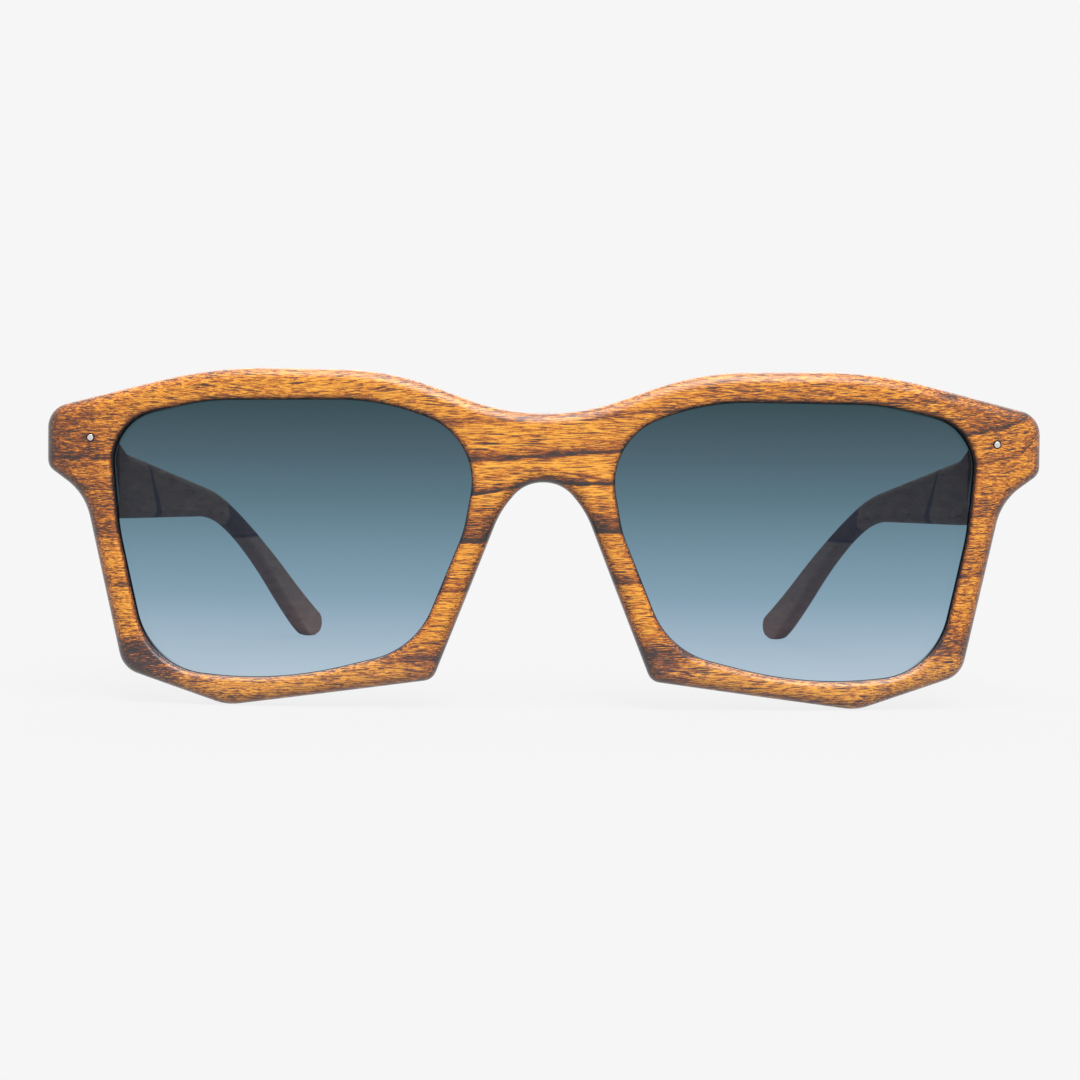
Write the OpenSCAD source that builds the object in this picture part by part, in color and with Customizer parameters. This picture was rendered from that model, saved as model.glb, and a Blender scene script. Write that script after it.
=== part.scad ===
// Sunglasses with a carved wooden front, two wooden arms on barrel hinges and two tinted lenses.
// X runs across the face, Y runs back from the front towards the ear tips, Z is up.
// The frame stands with its arms open: the lower rims and the ear tips touch Z = 0.

/* [Lens openings] */
// Width of each lens opening, boxed
lens_w = 52.4; // [48:0.2:56]
// Height of each lens opening, boxed
lens_h = 40.4; // [37:0.2:44]
// Distance between the two openings at their nearest
bridge_w = 20.6; // [18:0.2:24]

/* [Front] */
// Width of the rim above the opening
brow_rim = 4.3; // [3.6:0.1:5.5]
// Width of the rim below the opening
lower_rim = 3.9; // [3.4:0.1:5]
// Width of the rim beside the opening, towards the arm
side_rim = 3.9; // [3.4:0.1:5]
// Width of the end piece beyond the opening
end_w = 10.1; // [9.2:0.1:12]
// Height of the end piece's outer edge
end_h = 8.5; // [7.5:0.1:10]
// How far the top of the end piece lies below the brow
end_drop = 5.9; // [5:0.1:7]
// How far the top of the bridge lies below the brow
bridge_dip = 6.2; // [5:0.1:7.5]
// Height of the bridge, from the nose arch to its top
bridge_h = 9.9; // [8:0.1:11]
// Radius of the front's curve in plan
wrap_radius = 300; // [260:5:400]
// Thickness of the rims, front to back
rim_t = 4.6; // [4.2:0.1:5.4]
// Thickness of the hinge block at the opening's edge
block_t = 7; // [6.2:0.1:8]
// How far the carved nose pads stand out behind the rim
pad_t = 4.2; // [2:0.1:6]
// Radius of the rounded outer edges at the face
face_round = 1.8; // [1:0.1:2.1]
// Radius of the rounded outer edges at the back
back_round = 1.4; // [0.8:0.1:1.8]
// Radius of the eased edges round the openings
mouth_round = 0.8; // [0.4:0.1:0.9]

/* [Lenses] */
// Radius of the lens's front surface
lens_radius = 180; // [160:1:240]
// Thickness of the lens
lens_t = 2; // [1.6:0.1:2.2]
// Depth of the groove that holds the lens
groove_d = 0.7; // [0.4:0.1:1]
// Clearance between the lens's edge and its groove
lens_play = 0.06; // [0.03:0.01:0.1]

/* [Hinges] */
// Radius of the hinge knuckles
knuckle_r = 1.5; // [1.3:0.05:1.7]
// Height of each knuckle
knuckle_h = 2.2; // [1.8:0.1:2.4]
// Gap between neighbouring knuckles
knuckle_gap = 0.05; // [0.03:0.01:0.1]
// Diameter of the hinge screw's shank
screw_d = 1.4; // [1.2:0.1:1.6]
// Diameter of the hinge screw's head
screw_head_d = 2.4; // [2:0.1:2.6]
// Height of the hinge screw's head
screw_head_h = 0.7; // [0.5:0.1:0.9]
// Radial clearance of the screw in the knuckles
bore_play = 0.04; // [0.02:0.01:0.08]
// Thickness of the hinge plate on the front
leaf_t = 1.2; // [0.8:0.1:1.5]
// Thickness of the tang in the arm
tang_t = 1.4; // [1:0.1:1.6]
// Length of the tang in the arm
tang_l = 11; // [9:0.5:13]
// Height of the tang at its end
tang_h = 3.4; // [2.6:0.1:3.8]
// Diameter of the rivets
rivet_d = 0.9; // [0.7:0.1:1.2]
// Gap all round between the metal parts and the wood they are let into
seat_gap = 0.06; // [0.03:0.01:0.1]
// Dark glue ring round the rivet in the face
rivet_ring = 0.17; // [0.1:0.01:0.25]

/* [Arms] */
// How far the arm's inner face lies outside the opening at the hinge
arm_offset = 0.7; // [0.4:0.1:1.2]
// Gap between the closed joint's faces, end piece and arm
arm_gap = 0.3; // [0.2:0.05:0.5]
// Height of the arm's end at the hinge
butt_h = 11.5; // [11:0.1:12]
// Height of the arm behind its flared end
neck_h = 10; // [9.4:0.1:10.6]
// Height between the arm's edges where they turn down behind the ear
bend_h = 2.3; // [1.8:0.1:3]
// Thickness of the arm at the hinge
butt_t = 5.1; // [4.8:0.1:5.4]
// Thickness of the arm in the middle
mid_t = 3.6; // [3.2:0.1:4]
// Thickness of the ear tip
tip_t = 2.8; // [2.4:0.1:3.4]
// Distance from the hinge end to the neck behind the flare
neck_at = 9.8; // [9:0.1:11]
// Distance from the hinge end to the ear bend
bend_at = 88; // [82:0.5:94]
// Length of the ear tip beyond the bend
tip_l = 43; // [38:0.5:48]
// Downward slope of the arm, in degrees
arm_slope = 3.9; // [3.5:0.1:4.3]
// Downward slope of the ear tip, in degrees
tip_slope = 32.5; // [30:0.1:34]
// Radius of the ear bend
bend_radius = 110; // [96:1:120]
// Inward slope of the arm, in degrees
toe_in = 5.5; // [4.5:0.1:6.5]
// Radius of the tip's inward curve in plan
ear_radius = 190; // [160:5:260]
// Radius of the arm's rounded edges
arm_round = 1.4; // [0.8:0.1:1.6]
// Radius of the outer edges at the hinge end, which keeps it behind the front's outline
butt_round = 3; // [2.6:0.1:3.2]

/* [Hidden] */

LEFT = -1;
RIGHT = 1;
$fn = 32;
wood = "#a8682f";
tint = "#6f8e9f";
metal = "#3a3a3c";
bright = "#c9c9c6";
cut = 1;
touch = 1e-6;
arc_share = 0.999;
fine_turn = 18;
fine_step = 2;

// Opening: sides, top and bottom of its box
open_in = bridge_w / 2;
open_out = open_in + lens_w;
open_low = lower_rim;
open_top = open_low + lens_h;
open_mid = [(open_in + open_out) / 2, (open_low + open_top) / 2];

// Front: outer half width and the heights of its main places
half_w = open_out + end_w;
brow_z = open_top + brow_rim;
bridge_z = brow_z - bridge_dip;
arch_z = bridge_z - bridge_h;
end_z = brow_z - end_drop;

// Corners of one opening as [x, z, radius], clockwise from the nasal side
opening_corners = [
    [open_in + 1, open_top - 18.9, 17.5],
    [open_in - 1.4, open_top - 5.5, 9.9],
    [open_in + 12.9, open_top, 35],
    [open_out - 14.4, open_top - 0.2, 34],
    [open_out + 0.8, open_top - 3.2, 7.7],
    [open_out - 0.8, open_top - 19.2, 29],
    [open_out - 5.3, open_low + 1.1, 11.2],
    [open_out - 24.6, open_low - 0.6, 57],
    [open_in + 7.9, open_low + 4.5, 12.3]
];

// Corners of one half of the front's outline, from the bridge's top round to the nose arch
outline_corners = [
    [0, bridge_z, 0],
    [open_in - 4.7, bridge_z, 32],
    [open_in + 11.9, brow_z - 0.2, 40],
    [open_out - 15, brow_z + 0.2, 65],
    [half_w, end_z, 3.6],
    [half_w, end_z - end_h, 2],
    [open_out + side_rim + 0.5, end_z - end_h - 4, 8.7],
    [open_out - 5.3 + side_rim, open_low + 0.9, 4],
    [open_out - 17, open_low - lower_rim - 0.2, 8],
    [open_in + 5.4, open_low + 0.1, 2],
    [open_in - 4.1, arch_z - 4.3, 14],
    [open_in - 7.6, arch_z, 5.4],
    [0, arch_z, 0]
];

// Spacing of the stations round a rim and the steps of its rounded edges
station_step = 4.2;
loop_turn = 6;
arc_step = 15;
face_steps = 4;
back_steps = 3;
mouth_steps = 2;
lens_rings = [0.35, 0.7];

// Lens: centre of its spherical surfaces, square to the wrapped front at the middle of the opening
lens_sink = 0.3;
lip_land = 0.1;
lens_tilt = asin(open_mid[0] / wrap_radius);
lens_centre = [
    open_mid[0] - lens_radius * sin(lens_tilt),
    face_y(open_mid[0]) + lens_sink + lens_radius * cos(lens_tilt),
    open_mid[1]
];

// Hinge block: flat land on the back of the end piece, level with the arm's end
block_y = face_y(open_out) + block_t;
block_high = end_z - 1;
block_h = 13.2;
block_low = block_high - block_h;
block_blend = 2.2;
block_run = 4;
block_from = open_out - 6;

// Hinge: axis and heights
axis_x = open_out + arm_offset + knuckle_r;
leaf_clear = 0.25;
axis_y = block_y + leaf_clear + knuckle_r;
hinge_drop = 8.7;
hinge_z = end_z - hinge_drop;
hinge_h = 3 * knuckle_h + 2 * knuckle_gap;
hinge_low = hinge_z - hinge_h / 2;
bore_r = screw_d / 2 + bore_play;
slot_w = 0.4;
slot_d = 0.35;

// Hinge plate on the front: corners as [x, z, radius]
leaf_w = 5.3;
leaf_over = 2.2;
leaf_ear_h = 5.4;
leaf_foot_w = 2.8;
rivet_aside = 1.1;
leaf_in = axis_x - rivet_aside;
leaf_out = leaf_in + leaf_w;
leaf_low = hinge_low;
leaf_high = hinge_low + hinge_h + leaf_over;
leaf_corners = [
    [leaf_in, leaf_low, 0.1],
    [leaf_in, leaf_high, 0.8],
    [leaf_out, leaf_high, 1.2],
    [leaf_out, leaf_high - leaf_ear_h, 1.5],
    [leaf_in + leaf_foot_w, leaf_low, 0.8]
];
leaf_mid = [leaf_in + leaf_foot_w / 2, leaf_high - leaf_ear_h / 2];
rivet_x = axis_x + rivet_aside;
rivet_z = leaf_high - leaf_over / 2;

// Arm: middle of the neck and of the bend, and the two corners of the ear tip, in side view
arm_y = block_y + arm_gap;
bend_lag = 1.7;
tip_taper = 1.9;
far_z = 1.6;
near_z = 0.4;
far_y = arm_y + bend_at + bend_lag + tip_l;
bend_z = far_z + tip_l * tan(tip_slope - tip_taper) - bend_h / 2;
near_y = arm_y + bend_at - bend_lag + (bend_z - bend_h / 2 - near_z) / tan(tip_slope + tip_taper);
neck_z = bend_z + (bend_at - neck_at) * tan(arm_slope);

// Upper and lower edge of the arm as [y, z, radius], from the hinge end to the flat end of the tip
neck_lag = 0.8;
neck_round = 12;
bend_spread = 22;
far_round = 2.2;
near_round = 3;
tip_heel = 7.4;
tip_toe = 1.3;
arm_top = [
    [arm_y, hinge_z + butt_h / 2, 0],
    [arm_y + neck_at - neck_lag, neck_z + neck_h / 2, neck_round],
    [arm_y + bend_at + bend_lag, bend_z + bend_h / 2, bend_radius + bend_spread],
    [far_y, far_z, far_round],
    [far_y - tip_heel, 0, 0]
];
arm_low = [
    [arm_y, hinge_z - butt_h / 2, 0],
    [arm_y + neck_at + neck_lag, neck_z - neck_h / 2, neck_round],
    [arm_y + bend_at - bend_lag, bend_z - bend_h / 2, bend_radius - bend_spread],
    [near_y, near_z, near_round],
    [near_y + tip_toe, 0, 0]
];
arm_in = open_out + arm_offset;
ear_lead = 11;
ear_from = bend_at - ear_lead;
pocket_r = knuckle_r + leaf_clear;
arm_n = 34;
arm_crowd = 1.25;
tip_n = 12;
edge_turn = 4;
edge_step = 3;
edge_steps = 3;
edge_most = 0.48;
tip_thin = 0.45;

// Tang: a plate behind the knuckle pocket, drawn in Y and Z as [y, z, radius]
tang_x = axis_x;
tang_y = axis_y + pocket_r;
tang_top = hinge_z + knuckle_h / 2;
tang_end = tang_y + tang_l;
tang_root_h = 4;
tang_fall = 1.8;
tang_knee = 0.4;
tang_corners = [
    [tang_y, tang_top - tang_root_h, 0.4],
    [tang_y, tang_top, 0.2],
    [tang_y + tang_knee * tang_l, tang_top, 2],
    [tang_end, tang_top - tang_fall, 0.8],
    [tang_end, tang_top - tang_fall - tang_h, 0.8]
];

// Pins through the tang: share of its length and drop below its top
pin_shares = [[0.3, 1.9], [0.72, 3]];
pin_places = [for (p = pin_shares) [tang_y + p[0] * tang_l, tang_top - p[1]]];
pin_bite = 0.6;

function unit(v) = v / norm(v);
function flat(p) = [p[0], p[1]];
function ease(t) = let (c = max(0, min(1, t))) c * c * (3 - 2 * c);
function face_y(x) = wrap_radius - sqrt(wrap_radius * wrap_radius - x * x);

// Half the angle inside corner i of a corner list
function next_corner(V, i) = flat(V[(i + 1) % len(V)]);
function last_corner(V, i) = flat(V[(i + len(V) - 1) % len(V)]);
function half_angle(V, i) =
    let (u = unit(last_corner(V, i) - flat(V[i])), w = unit(next_corner(V, i) - flat(V[i])))
    acos(max(-1, min(1, u * w))) / 2;
function is_end(V, i, closed) = !closed && (i == 0 || i == len(V) - 1);
function tangent_length(V, i, closed) =
    is_end(V, i, closed) ? 0 : V[i][2] / tan(half_angle(V, i));

// Radius of corner i, limited so that neighbouring arcs share their edge
function fitted_radius(V, i, closed) =
    let (
        n = len(V),
        here = tangent_length(V, i, closed),
        before = norm(last_corner(V, i) - flat(V[i])) / (here + tangent_length(V, (i + n - 1) % n, closed)),
        after = norm(next_corner(V, i) - flat(V[i])) / (here + tangent_length(V, (i + 1) % n, closed))
    )
    V[i][2] * min(1, arc_share * before, arc_share * after);

// Points of the arc that rounds corner i
function corner_arc(V, i, closed, turn_step, length_step) =
    is_end(V, i, closed) ? [flat(V[i])] :
    let (
        p = flat(V[i]),
        u = unit(last_corner(V, i) - p),
        w = unit(next_corner(V, i) - p),
        half = half_angle(V, i),
        r = fitted_radius(V, i, closed),
        middle = p + unit(u + w) * r / sin(half),
        turn = 180 - 2 * half,
        steps = max(2, ceil(turn / turn_step), ceil(r * turn * PI / 180 / length_step)),
        from = p + u * r / tan(half) - middle,
        side = u[0] * w[1] - u[1] * w[0] > 0 ? -1 : 1
    )
    [for (k = [0:steps]) let (a = side * turn * k / steps)
        middle + [from[0] * cos(a) - from[1] * sin(a), from[0] * sin(a) + from[1] * cos(a)]];
function rounded(V, closed, turn_step, length_step) =
    [for (i = [0:len(V) - 1]) each corner_arc(V, i, closed, turn_step, length_step)];

// The same path with its long edges divided
function divided(P, closed, length_step) =
    [for (i = [0:len(P) - (closed ? 1 : 2)]) let (
        a = P[i],
        b = P[(i + 1) % len(P)],
        n = max(1, ceil(norm(b - a) / length_step)))
        for (k = [0:n - 1]) a + (b - a) * k / n,
     if (!closed) P[len(P) - 1]];

// Where the ray from a hub towards a point crosses a closed loop
function cross2(a, b) = a[0] * b[1] - a[1] * b[0];
function ray_hit(hub, target, loop) =
    [for (i = [0:len(loop) - 1]) let (
        d = target - hub,
        a = loop[i] - hub,
        e = loop[(i + 1) % len(loop)] - loop[i],
        den = cross2(d, e),
        t = cross2(a, e) / den,
        s = cross2(a, d) / den)
        if (t > 0 && s >= -touch && s < 1 + touch) hub + d * t][0];

// Direction across a path at point i: to the right of the way it runs
function right_of(P, i, closed) =
    let (
        n = len(P),
        a = closed ? P[(i + n - 1) % n] : P[max(0, i - 1)],
        b = closed ? P[(i + 1) % n] : P[min(n - 1, i + 1)],
        d = unit(b - a)
    )
    [d[1], -d[0]];

// Stations of one rim: outline points, middle-line points and the opening's points that face them
outline_run = divided(rounded(outline_corners, false, arc_step, station_step), false, station_step);
outline_n = len(outline_run);
middle_run = [for (t = [1 / 3, 2 / 3])
    [0, arch_z + face_round + (bridge_z - arch_z - 2 * face_round) * t]];
outer = concat(outline_run, middle_run);
opening_loop = rounded(opening_corners, true, loop_turn, fine_step);
hub_rise = 0.5;
hub = [open_mid[0], arch_z + hub_rise];
inner = [for (p = outer) ray_hit(hub, p, opening_loop)];
stations = len(outer);

function on_middle(k) = k == 0 || k >= outline_n - 1;
function between_halves(k) = k >= outline_n;
function outer_normal(k) =
    k == 0 ? [0, -1] : k == outline_n - 1 ? [0, 1] : right_of(outline_run, k, false);
function inner_normal(k) = -right_of(inner, k, true);

// Height of a lens surface, lens_radius - depth from its centre, above a place on the front
function lens_y(p, depth) =
    let (r = lens_radius - depth, dx = p[0] - lens_centre[0], dz = p[1] - lens_centre[2])
    lens_centre[1] - sqrt(r * r - dx * dx - dz * dz);

// Depth of the wood's back behind its face at a place, and extra depth of the nose pad
function block_share(p) =
    ease((p[0] - block_from) / block_run)
    * ease((p[1] - block_low) / block_blend + 0.5)
    * ease((block_high - p[1]) / block_blend + 0.5);
function back_t(p) = rim_t + block_share(p) * (block_y - face_y(p[0]) - rim_t);
pad_inset = 4;
pad_low = open_low + pad_inset;
pad_high = arch_z - pad_inset;
pad_reach = open_in + 6;
pad_swell = 1.5;
pad_mouth = 0.25;
function pad_share(p) =
    let (t = (p[1] - pad_low) / (pad_high - pad_low))
    p[0] < pad_reach && t > 0 && t < 1 ? pow(sin(180 * t), pad_swell) : 0;

// A point of the front: place on the face plane and depth behind the wrapped face
function at_depth(p, t) = [p[0], face_y(p[0]) + t, p[1]];

// One station's profile: outer edge from face to back, then the mouth with its lens groove
function outer_profile(k) =
    let (o = outer[k])
    between_halves(k) ?
        concat([for (i = [0:face_steps]) at_depth(o, 0)], [for (i = [0:back_steps]) at_depth(o, rim_t)]) :
        let (n = outer_normal(k), t = back_t(o + n * back_round) + pad_t * pad_share(o))
        concat(
            [for (i = [0:face_steps]) let (a = 90 * i / face_steps)
                at_depth(o + n * face_round * (1 - sin(a)), face_round * (1 - cos(a)))],
            [for (i = [0:back_steps]) let (a = 90 * i / back_steps)
                at_depth(o + n * back_round * (1 - cos(a)), t - back_round * (1 - sin(a)))]);
function inner_profile(k) =
    let (
        q = inner[k],
        n = inner_normal(k),
        lip_front = lens_y(q, 0) - lens_play - face_y(q[0]),
        lip_back = lens_y(q, lens_t) + lens_play - face_y(q[0]),
        wood_t = back_t(q + n * mouth_round) + pad_mouth * pad_t * pad_share(outer[k]),
        t = max(wood_t, lip_back + 2 * lip_land),
        back_r = min(mouth_round, t - lip_back - lip_land),
        front_r = min(mouth_round, lip_front - lip_land)
    )
    concat(
        [for (i = [0:mouth_steps]) let (a = 90 * i / mouth_steps)
            at_depth(q + n * back_r * (1 - sin(a)), t - back_r * (1 - cos(a)))],
        [at_depth(q, lip_back)],
        [let (g = q + n * groove_d) [g[0], lens_y(g, lens_t / 2), g[1]]],
        [at_depth(q, lip_front)],
        [for (i = [0:mouth_steps]) let (a = 90 * i / mouth_steps)
            at_depth(q + n * front_r * (1 - cos(a)), front_r * (1 - sin(a)))]);
rim_points = [for (k = [0:stations - 1]) each concat(outer_profile(k), inner_profile(k))];
edge_n = face_steps + back_steps + 2;
profile_n = len(rim_points) / stations;

// Both halves share the points on the middle line, and no wall is left between them
function rim_index(half, k, j) =
    (half == 1 && !(on_middle(k) && j < edge_n) ? len(rim_points) : 0) + k * profile_n + j;
function is_open(k, j) = (between_halves(k) || between_halves((k + 1) % stations)) && j < edge_n - 1;
front_faces = [for (half = [1, 0], k = [0:stations - 1], j = [0:profile_n - 1])
    if (!is_open(k, j)) let (
        m = (k + 1) % stations,
        i = (j + 1) % profile_n,
        a = rim_index(half, k, j),
        b = rim_index(half, m, j),
        c = rim_index(half, m, i),
        d = rim_index(half, k, i))
        each half == 0 ? [[a, c, b], [a, d, c]] : [[a, b, c], [a, c, d]]];
front_points = concat(rim_points, [for (p = rim_points) [-p[0], p[1], p[2]]]);

module on_side(s) {
    if (s == RIGHT) children();
    else mirror([1, 0, 0]) children();
}

module placed() {
    translate([0, -middle_y, 0]) children();
}

// An upright plate, drawn in X and Z and standing from y up to y + t
module plate(corners, y, t) {
    translate([0, y + t, 0])
        rotate([90, 0, 0])
            linear_extrude(t) polygon(rounded(corners, true, fine_turn, fine_step));
}

// A rod that runs back along Y
module rod_y(x, y, z, r, l) {
    translate([x, y, z]) rotate([-90, 0, 0]) cylinder(r = r, h = l);
}

module front_frame() {
    color(wood) placed() difference() {
        polyhedron(front_points, front_faces, convexity = 8);
        for (s = [LEFT, RIGHT]) on_side(s) {
            plate([for (c = leaf_corners) c + [
                sign(c[0] - leaf_mid[0]) * seat_gap,
                sign(c[1] - leaf_mid[1]) * seat_gap,
                0]], block_y - leaf_t, leaf_t + cut);
            rod_y(rivet_x, 0, rivet_z, rivet_d / 2 + rivet_ring, block_y);
        }
    }
}

// A lens: rings from the middle of its face out to the bevelled edge and back to the middle of its rear
function lens_ring(share, out, depth) =
    [for (k = [0:stations - 1]) let (
        p = open_mid + (inner[k] - open_mid) * share + inner_normal(k) * out)
        [p[0], lens_y(p, depth), p[1]]];
lens_points = concat(
    [[open_mid[0], lens_y(open_mid, 0), open_mid[1]]],
    [for (s = lens_rings) each lens_ring(s, 0, 0)],
    lens_ring(1, -lens_play, 0),
    lens_ring(1, groove_d - 2 * lens_play, lens_t / 2),
    lens_ring(1, -lens_play, lens_t),
    [for (i = [len(lens_rings) - 1:-1:0]) each lens_ring(lens_rings[i], 0, lens_t)],
    [[open_mid[0], lens_y(open_mid, lens_t), open_mid[1]]]);
lens_ring_n = 2 * len(lens_rings) + 3;
lens_last = len(lens_points) - 1;
lens_faces = concat(
    [for (k = [0:stations - 1]) [0, 1 + k, 1 + (k + 1) % stations]],
    [for (i = [0:lens_ring_n - 2], k = [0:stations - 1]) let (
        m = (k + 1) % stations,
        a = 1 + i * stations,
        b = a + stations)
        each [[a + k, b + k, b + m], [a + k, b + m, a + m]]],
    [for (k = [0:stations - 1]) let (a = lens_last - stations)
        [lens_last, a + (k + 1) % stations, a + k]]);

module lens(s) {
    color(tint, 0.7) placed() on_side(s) polyhedron(lens_points, lens_faces, convexity = 4);
}

// Hinge half on the front: a plate let into the block, with a lower and an upper knuckle
module front_hinge_leaf(s) {
    upper = hinge_low + 2 * (knuckle_h + knuckle_gap);
    color(metal) placed() on_side(s) difference() {
        union() {
            plate(leaf_corners, block_y - leaf_t, leaf_t);
            for (z = [hinge_low, upper]) {
                translate([axis_x, axis_y, z]) cylinder(r = knuckle_r, h = knuckle_h);
                translate([leaf_in, block_y - leaf_t / 2, z])
                    cube([axis_x + knuckle_r - leaf_in, axis_y - block_y + leaf_t / 2, knuckle_h]);
            }
        }
        translate([axis_x, axis_y, hinge_low - cut]) cylinder(r = bore_r, h = hinge_h + 2 * cut);
        rod_y(rivet_x, block_y - leaf_t - cut, rivet_z, rivet_d / 2 + seat_gap, leaf_t + 2 * cut);
    }
}

// Rivet through the end piece: its end shows as a bright dot in the face
module front_rivet(s) {
    from = face_y(rivet_x);
    color(bright) placed() on_side(s) rod_y(rivet_x, from, rivet_z, rivet_d / 2, block_y - from);
}

// Screw down through the three knuckles, with a slotted head
module hinge_screw(s) {
    top = hinge_low + hinge_h;
    color(bright) placed() on_side(s) translate([axis_x, axis_y, 0]) difference() {
        union() {
            translate([0, 0, hinge_low]) cylinder(d = screw_d, h = hinge_h + screw_head_h / 2);
            translate([0, 0, top]) cylinder(d = screw_head_d, h = screw_head_h);
        }
        translate([-screw_head_d, -slot_w / 2, top + screw_head_h - slot_d])
            cube([2 * screw_head_d, slot_w, slot_d + cut]);
    }
}

// Hinge half on the arm: one knuckle, a short web and a tang in a slot of the arm's end
module tang_plate(play, lead) {
    grown = [for (c = tang_corners) [
        c[0] + (c[0] > tang_y ? play : -lead),
        c[1] + sign(c[1] - tang_top + tang_root_h / 2) * play,
        c[2]]];
    translate([tang_x - tang_t / 2 - play, 0, 0])
        rotate([90, 0, 90])
            linear_extrude(tang_t + 2 * play) polygon(rounded(grown, true, fine_turn, fine_step));
}

module pins(grow, from) {
    for (p = pin_places)
        translate([from, p[0], p[1]]) rotate([0, 90, 0])
            cylinder(r = rivet_d / 2 + grow, h = arm_outer_x(p[0]) - from);
}

module temple_hinge_leaf(s) {
    low = hinge_low + knuckle_h + knuckle_gap;
    color(metal) placed() on_side(s) difference() {
        union() {
            translate([axis_x, axis_y, low]) cylinder(r = knuckle_r, h = knuckle_h);
            translate([tang_x - tang_t / 2, axis_y, low])
                cube([tang_t, pocket_r + tang_t, knuckle_h]);
            tang_plate(0, 0);
        }
        translate([axis_x, axis_y, low - cut]) cylinder(r = bore_r, h = knuckle_h + 2 * cut);
        pins(seat_gap, tang_x - tang_t);
    }
}

// Two pins from the arm's outer face through the tang
module temple_rivets(s) {
    color(bright) placed() on_side(s) pins(0, tang_x - tang_t / 2 - pin_bite);
}

// The arm: sections between its two edges, set closer together towards the hinge. They stand square to
// the arm as far as the bend, then lean over until the last one lies flat at the tip's end
function distances(P) =
    [for (i = 0, d = 0; i < len(P); d = d + (i + 1 < len(P) ? norm(P[i + 1] - P[i]) : 0), i = i + 1) d];
function along(P, D, share) =
    let (d = share * D[len(D) - 1])
    [for (c = [0, 1]) lookup(d, [for (i = [0:len(P) - 1]) [D[i], P[i][c]]])];
// How much of each edge's length the sections have passed at the bend and where the tip's end begins
bend_share = 0.6;
tip_share = 0.88;
top_shares = [[0, 0], [bend_share, 0.645], [tip_share, 0.93], [1, 1]];
low_shares = [[0, 0], [bend_share, 0.68], [tip_share, 0.95], [1, 1]];
arm_shares = concat(
    [for (i = [0:arm_n]) tip_share * pow(i / arm_n, arm_crowd)],
    [for (i = [1:tip_n]) tip_share + (1 - tip_share) * i / tip_n]);
top_run = rounded(arm_top, false, edge_turn, edge_step);
low_run = rounded(arm_low, false, edge_turn, edge_step);
top_d = distances(top_run);
low_d = distances(low_run);
function arm_inner_x(y) =
    arm_in - (y - arm_y) * tan(toe_in) - pow(max(0, y - arm_y - ear_from), 2) / (2 * ear_radius);
function arm_t(y) =
    let (s = (y - arm_y) / bend_at)
    s < 0.5 ? butt_t + (mid_t - butt_t) * ease(2 * s) : mid_t + (tip_t - mid_t) * ease(2 * s - 1);
function arm_outer_x(y) = arm_inner_x(y) + arm_t(y);
function end_thinning(share) =
    let (past = max(0, (share - tip_share) / (1 - tip_share)))
    tip_thin + (1 - tip_thin) * sqrt(max(0, 1 - past * past));

// Rounding of the outer edges, which eases off behind the neck
function outer_round(y) = butt_round + (arm_round - butt_round) * ease((y - arm_y) / (2 * neck_at));

// A section: rounded rectangle on a middle point along the direction up, bent inwards as the arm is
function arm_section(p, up, h, t) =
    let (
        inner = min(arm_round, edge_most * h, edge_most * t),
        outer = min(outer_round(p[0]), edge_most * h, 2 * edge_most * t - inner))
    [for (c = [[1, 1, 0], [-1, 1, 90], [-1, -1, 180], [1, -1, 270]], i = [0:edge_steps]) let (
        r = c[0] > 0 ? outer : inner,
        a = c[2] + 90 * i / edge_steps,
        e = [c[0] * (t / 2 - r) + r * cos(a), c[1] * (h / 2 - r) + r * sin(a)],
        q = p + up * e[1])
        [arm_inner_x(q[0]) + t / 2 + e[0], q[0], q[1]]];
arm_sections = [for (u = arm_shares) let (
    a = along(low_run, low_d, lookup(u, low_shares)),
    b = along(top_run, top_d, lookup(u, top_shares)))
    arm_section((a + b) / 2, unit(b - a), norm(b - a), arm_t((a[0] + b[0]) / 2) * end_thinning(u))];
section_n = 4 * (edge_steps + 1);
sections = len(arm_sections);
arm_points = [for (q = arm_sections) each q];
arm_faces = concat(
    [[for (j = [section_n - 1:-1:0]) j]],
    [for (k = [0:sections - 2], j = [0:section_n - 1]) let (
        i = (j + 1) % section_n,
        a = k * section_n,
        b = a + section_n)
        each [[a + j, b + i, b + j], [a + j, a + i, b + i]]],
    [[for (j = [0:section_n - 1]) (sections - 1) * section_n + j]]);

// Whole frame: the origin lies under the middle of its depth
middle_y = max([for (p = arm_points) p[1]]) / 2;

module temple(s) {
    color(wood) placed() on_side(s) difference() {
        polyhedron(arm_points, arm_faces, convexity = 6);
        translate([axis_x - 2 * butt_t, arm_y - cut, hinge_z - butt_h])
            cube([2 * butt_t + pocket_r, tang_y - arm_y + cut, 2 * butt_h]);
        tang_plate(seat_gap, cut);
        pins(seat_gap, tang_x - tang_t / 2 - pin_bite);
    }
}

front_frame();
lens(LEFT);  // lens_left
lens(RIGHT);  // lens_right
front_hinge_leaf(LEFT);  // front_hinge_leaf_left
front_hinge_leaf(RIGHT);  // front_hinge_leaf_right
front_rivet(LEFT);  // front_rivet_left
front_rivet(RIGHT);  // front_rivet_right
hinge_screw(LEFT);  // hinge_screw_left
hinge_screw(RIGHT);  // hinge_screw_right
temple(LEFT);  // temple_left
temple(RIGHT);  // temple_right
temple_hinge_leaf(LEFT);  // temple_hinge_leaf_left
temple_hinge_leaf(RIGHT);  // temple_hinge_leaf_right
temple_rivets(LEFT);  // temple_rivets_left
temple_rivets(RIGHT);  // temple_rivets_right
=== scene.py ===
import math

import bmesh
import bpy
import numpy as np
from mathutils import Matrix, Vector


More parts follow.
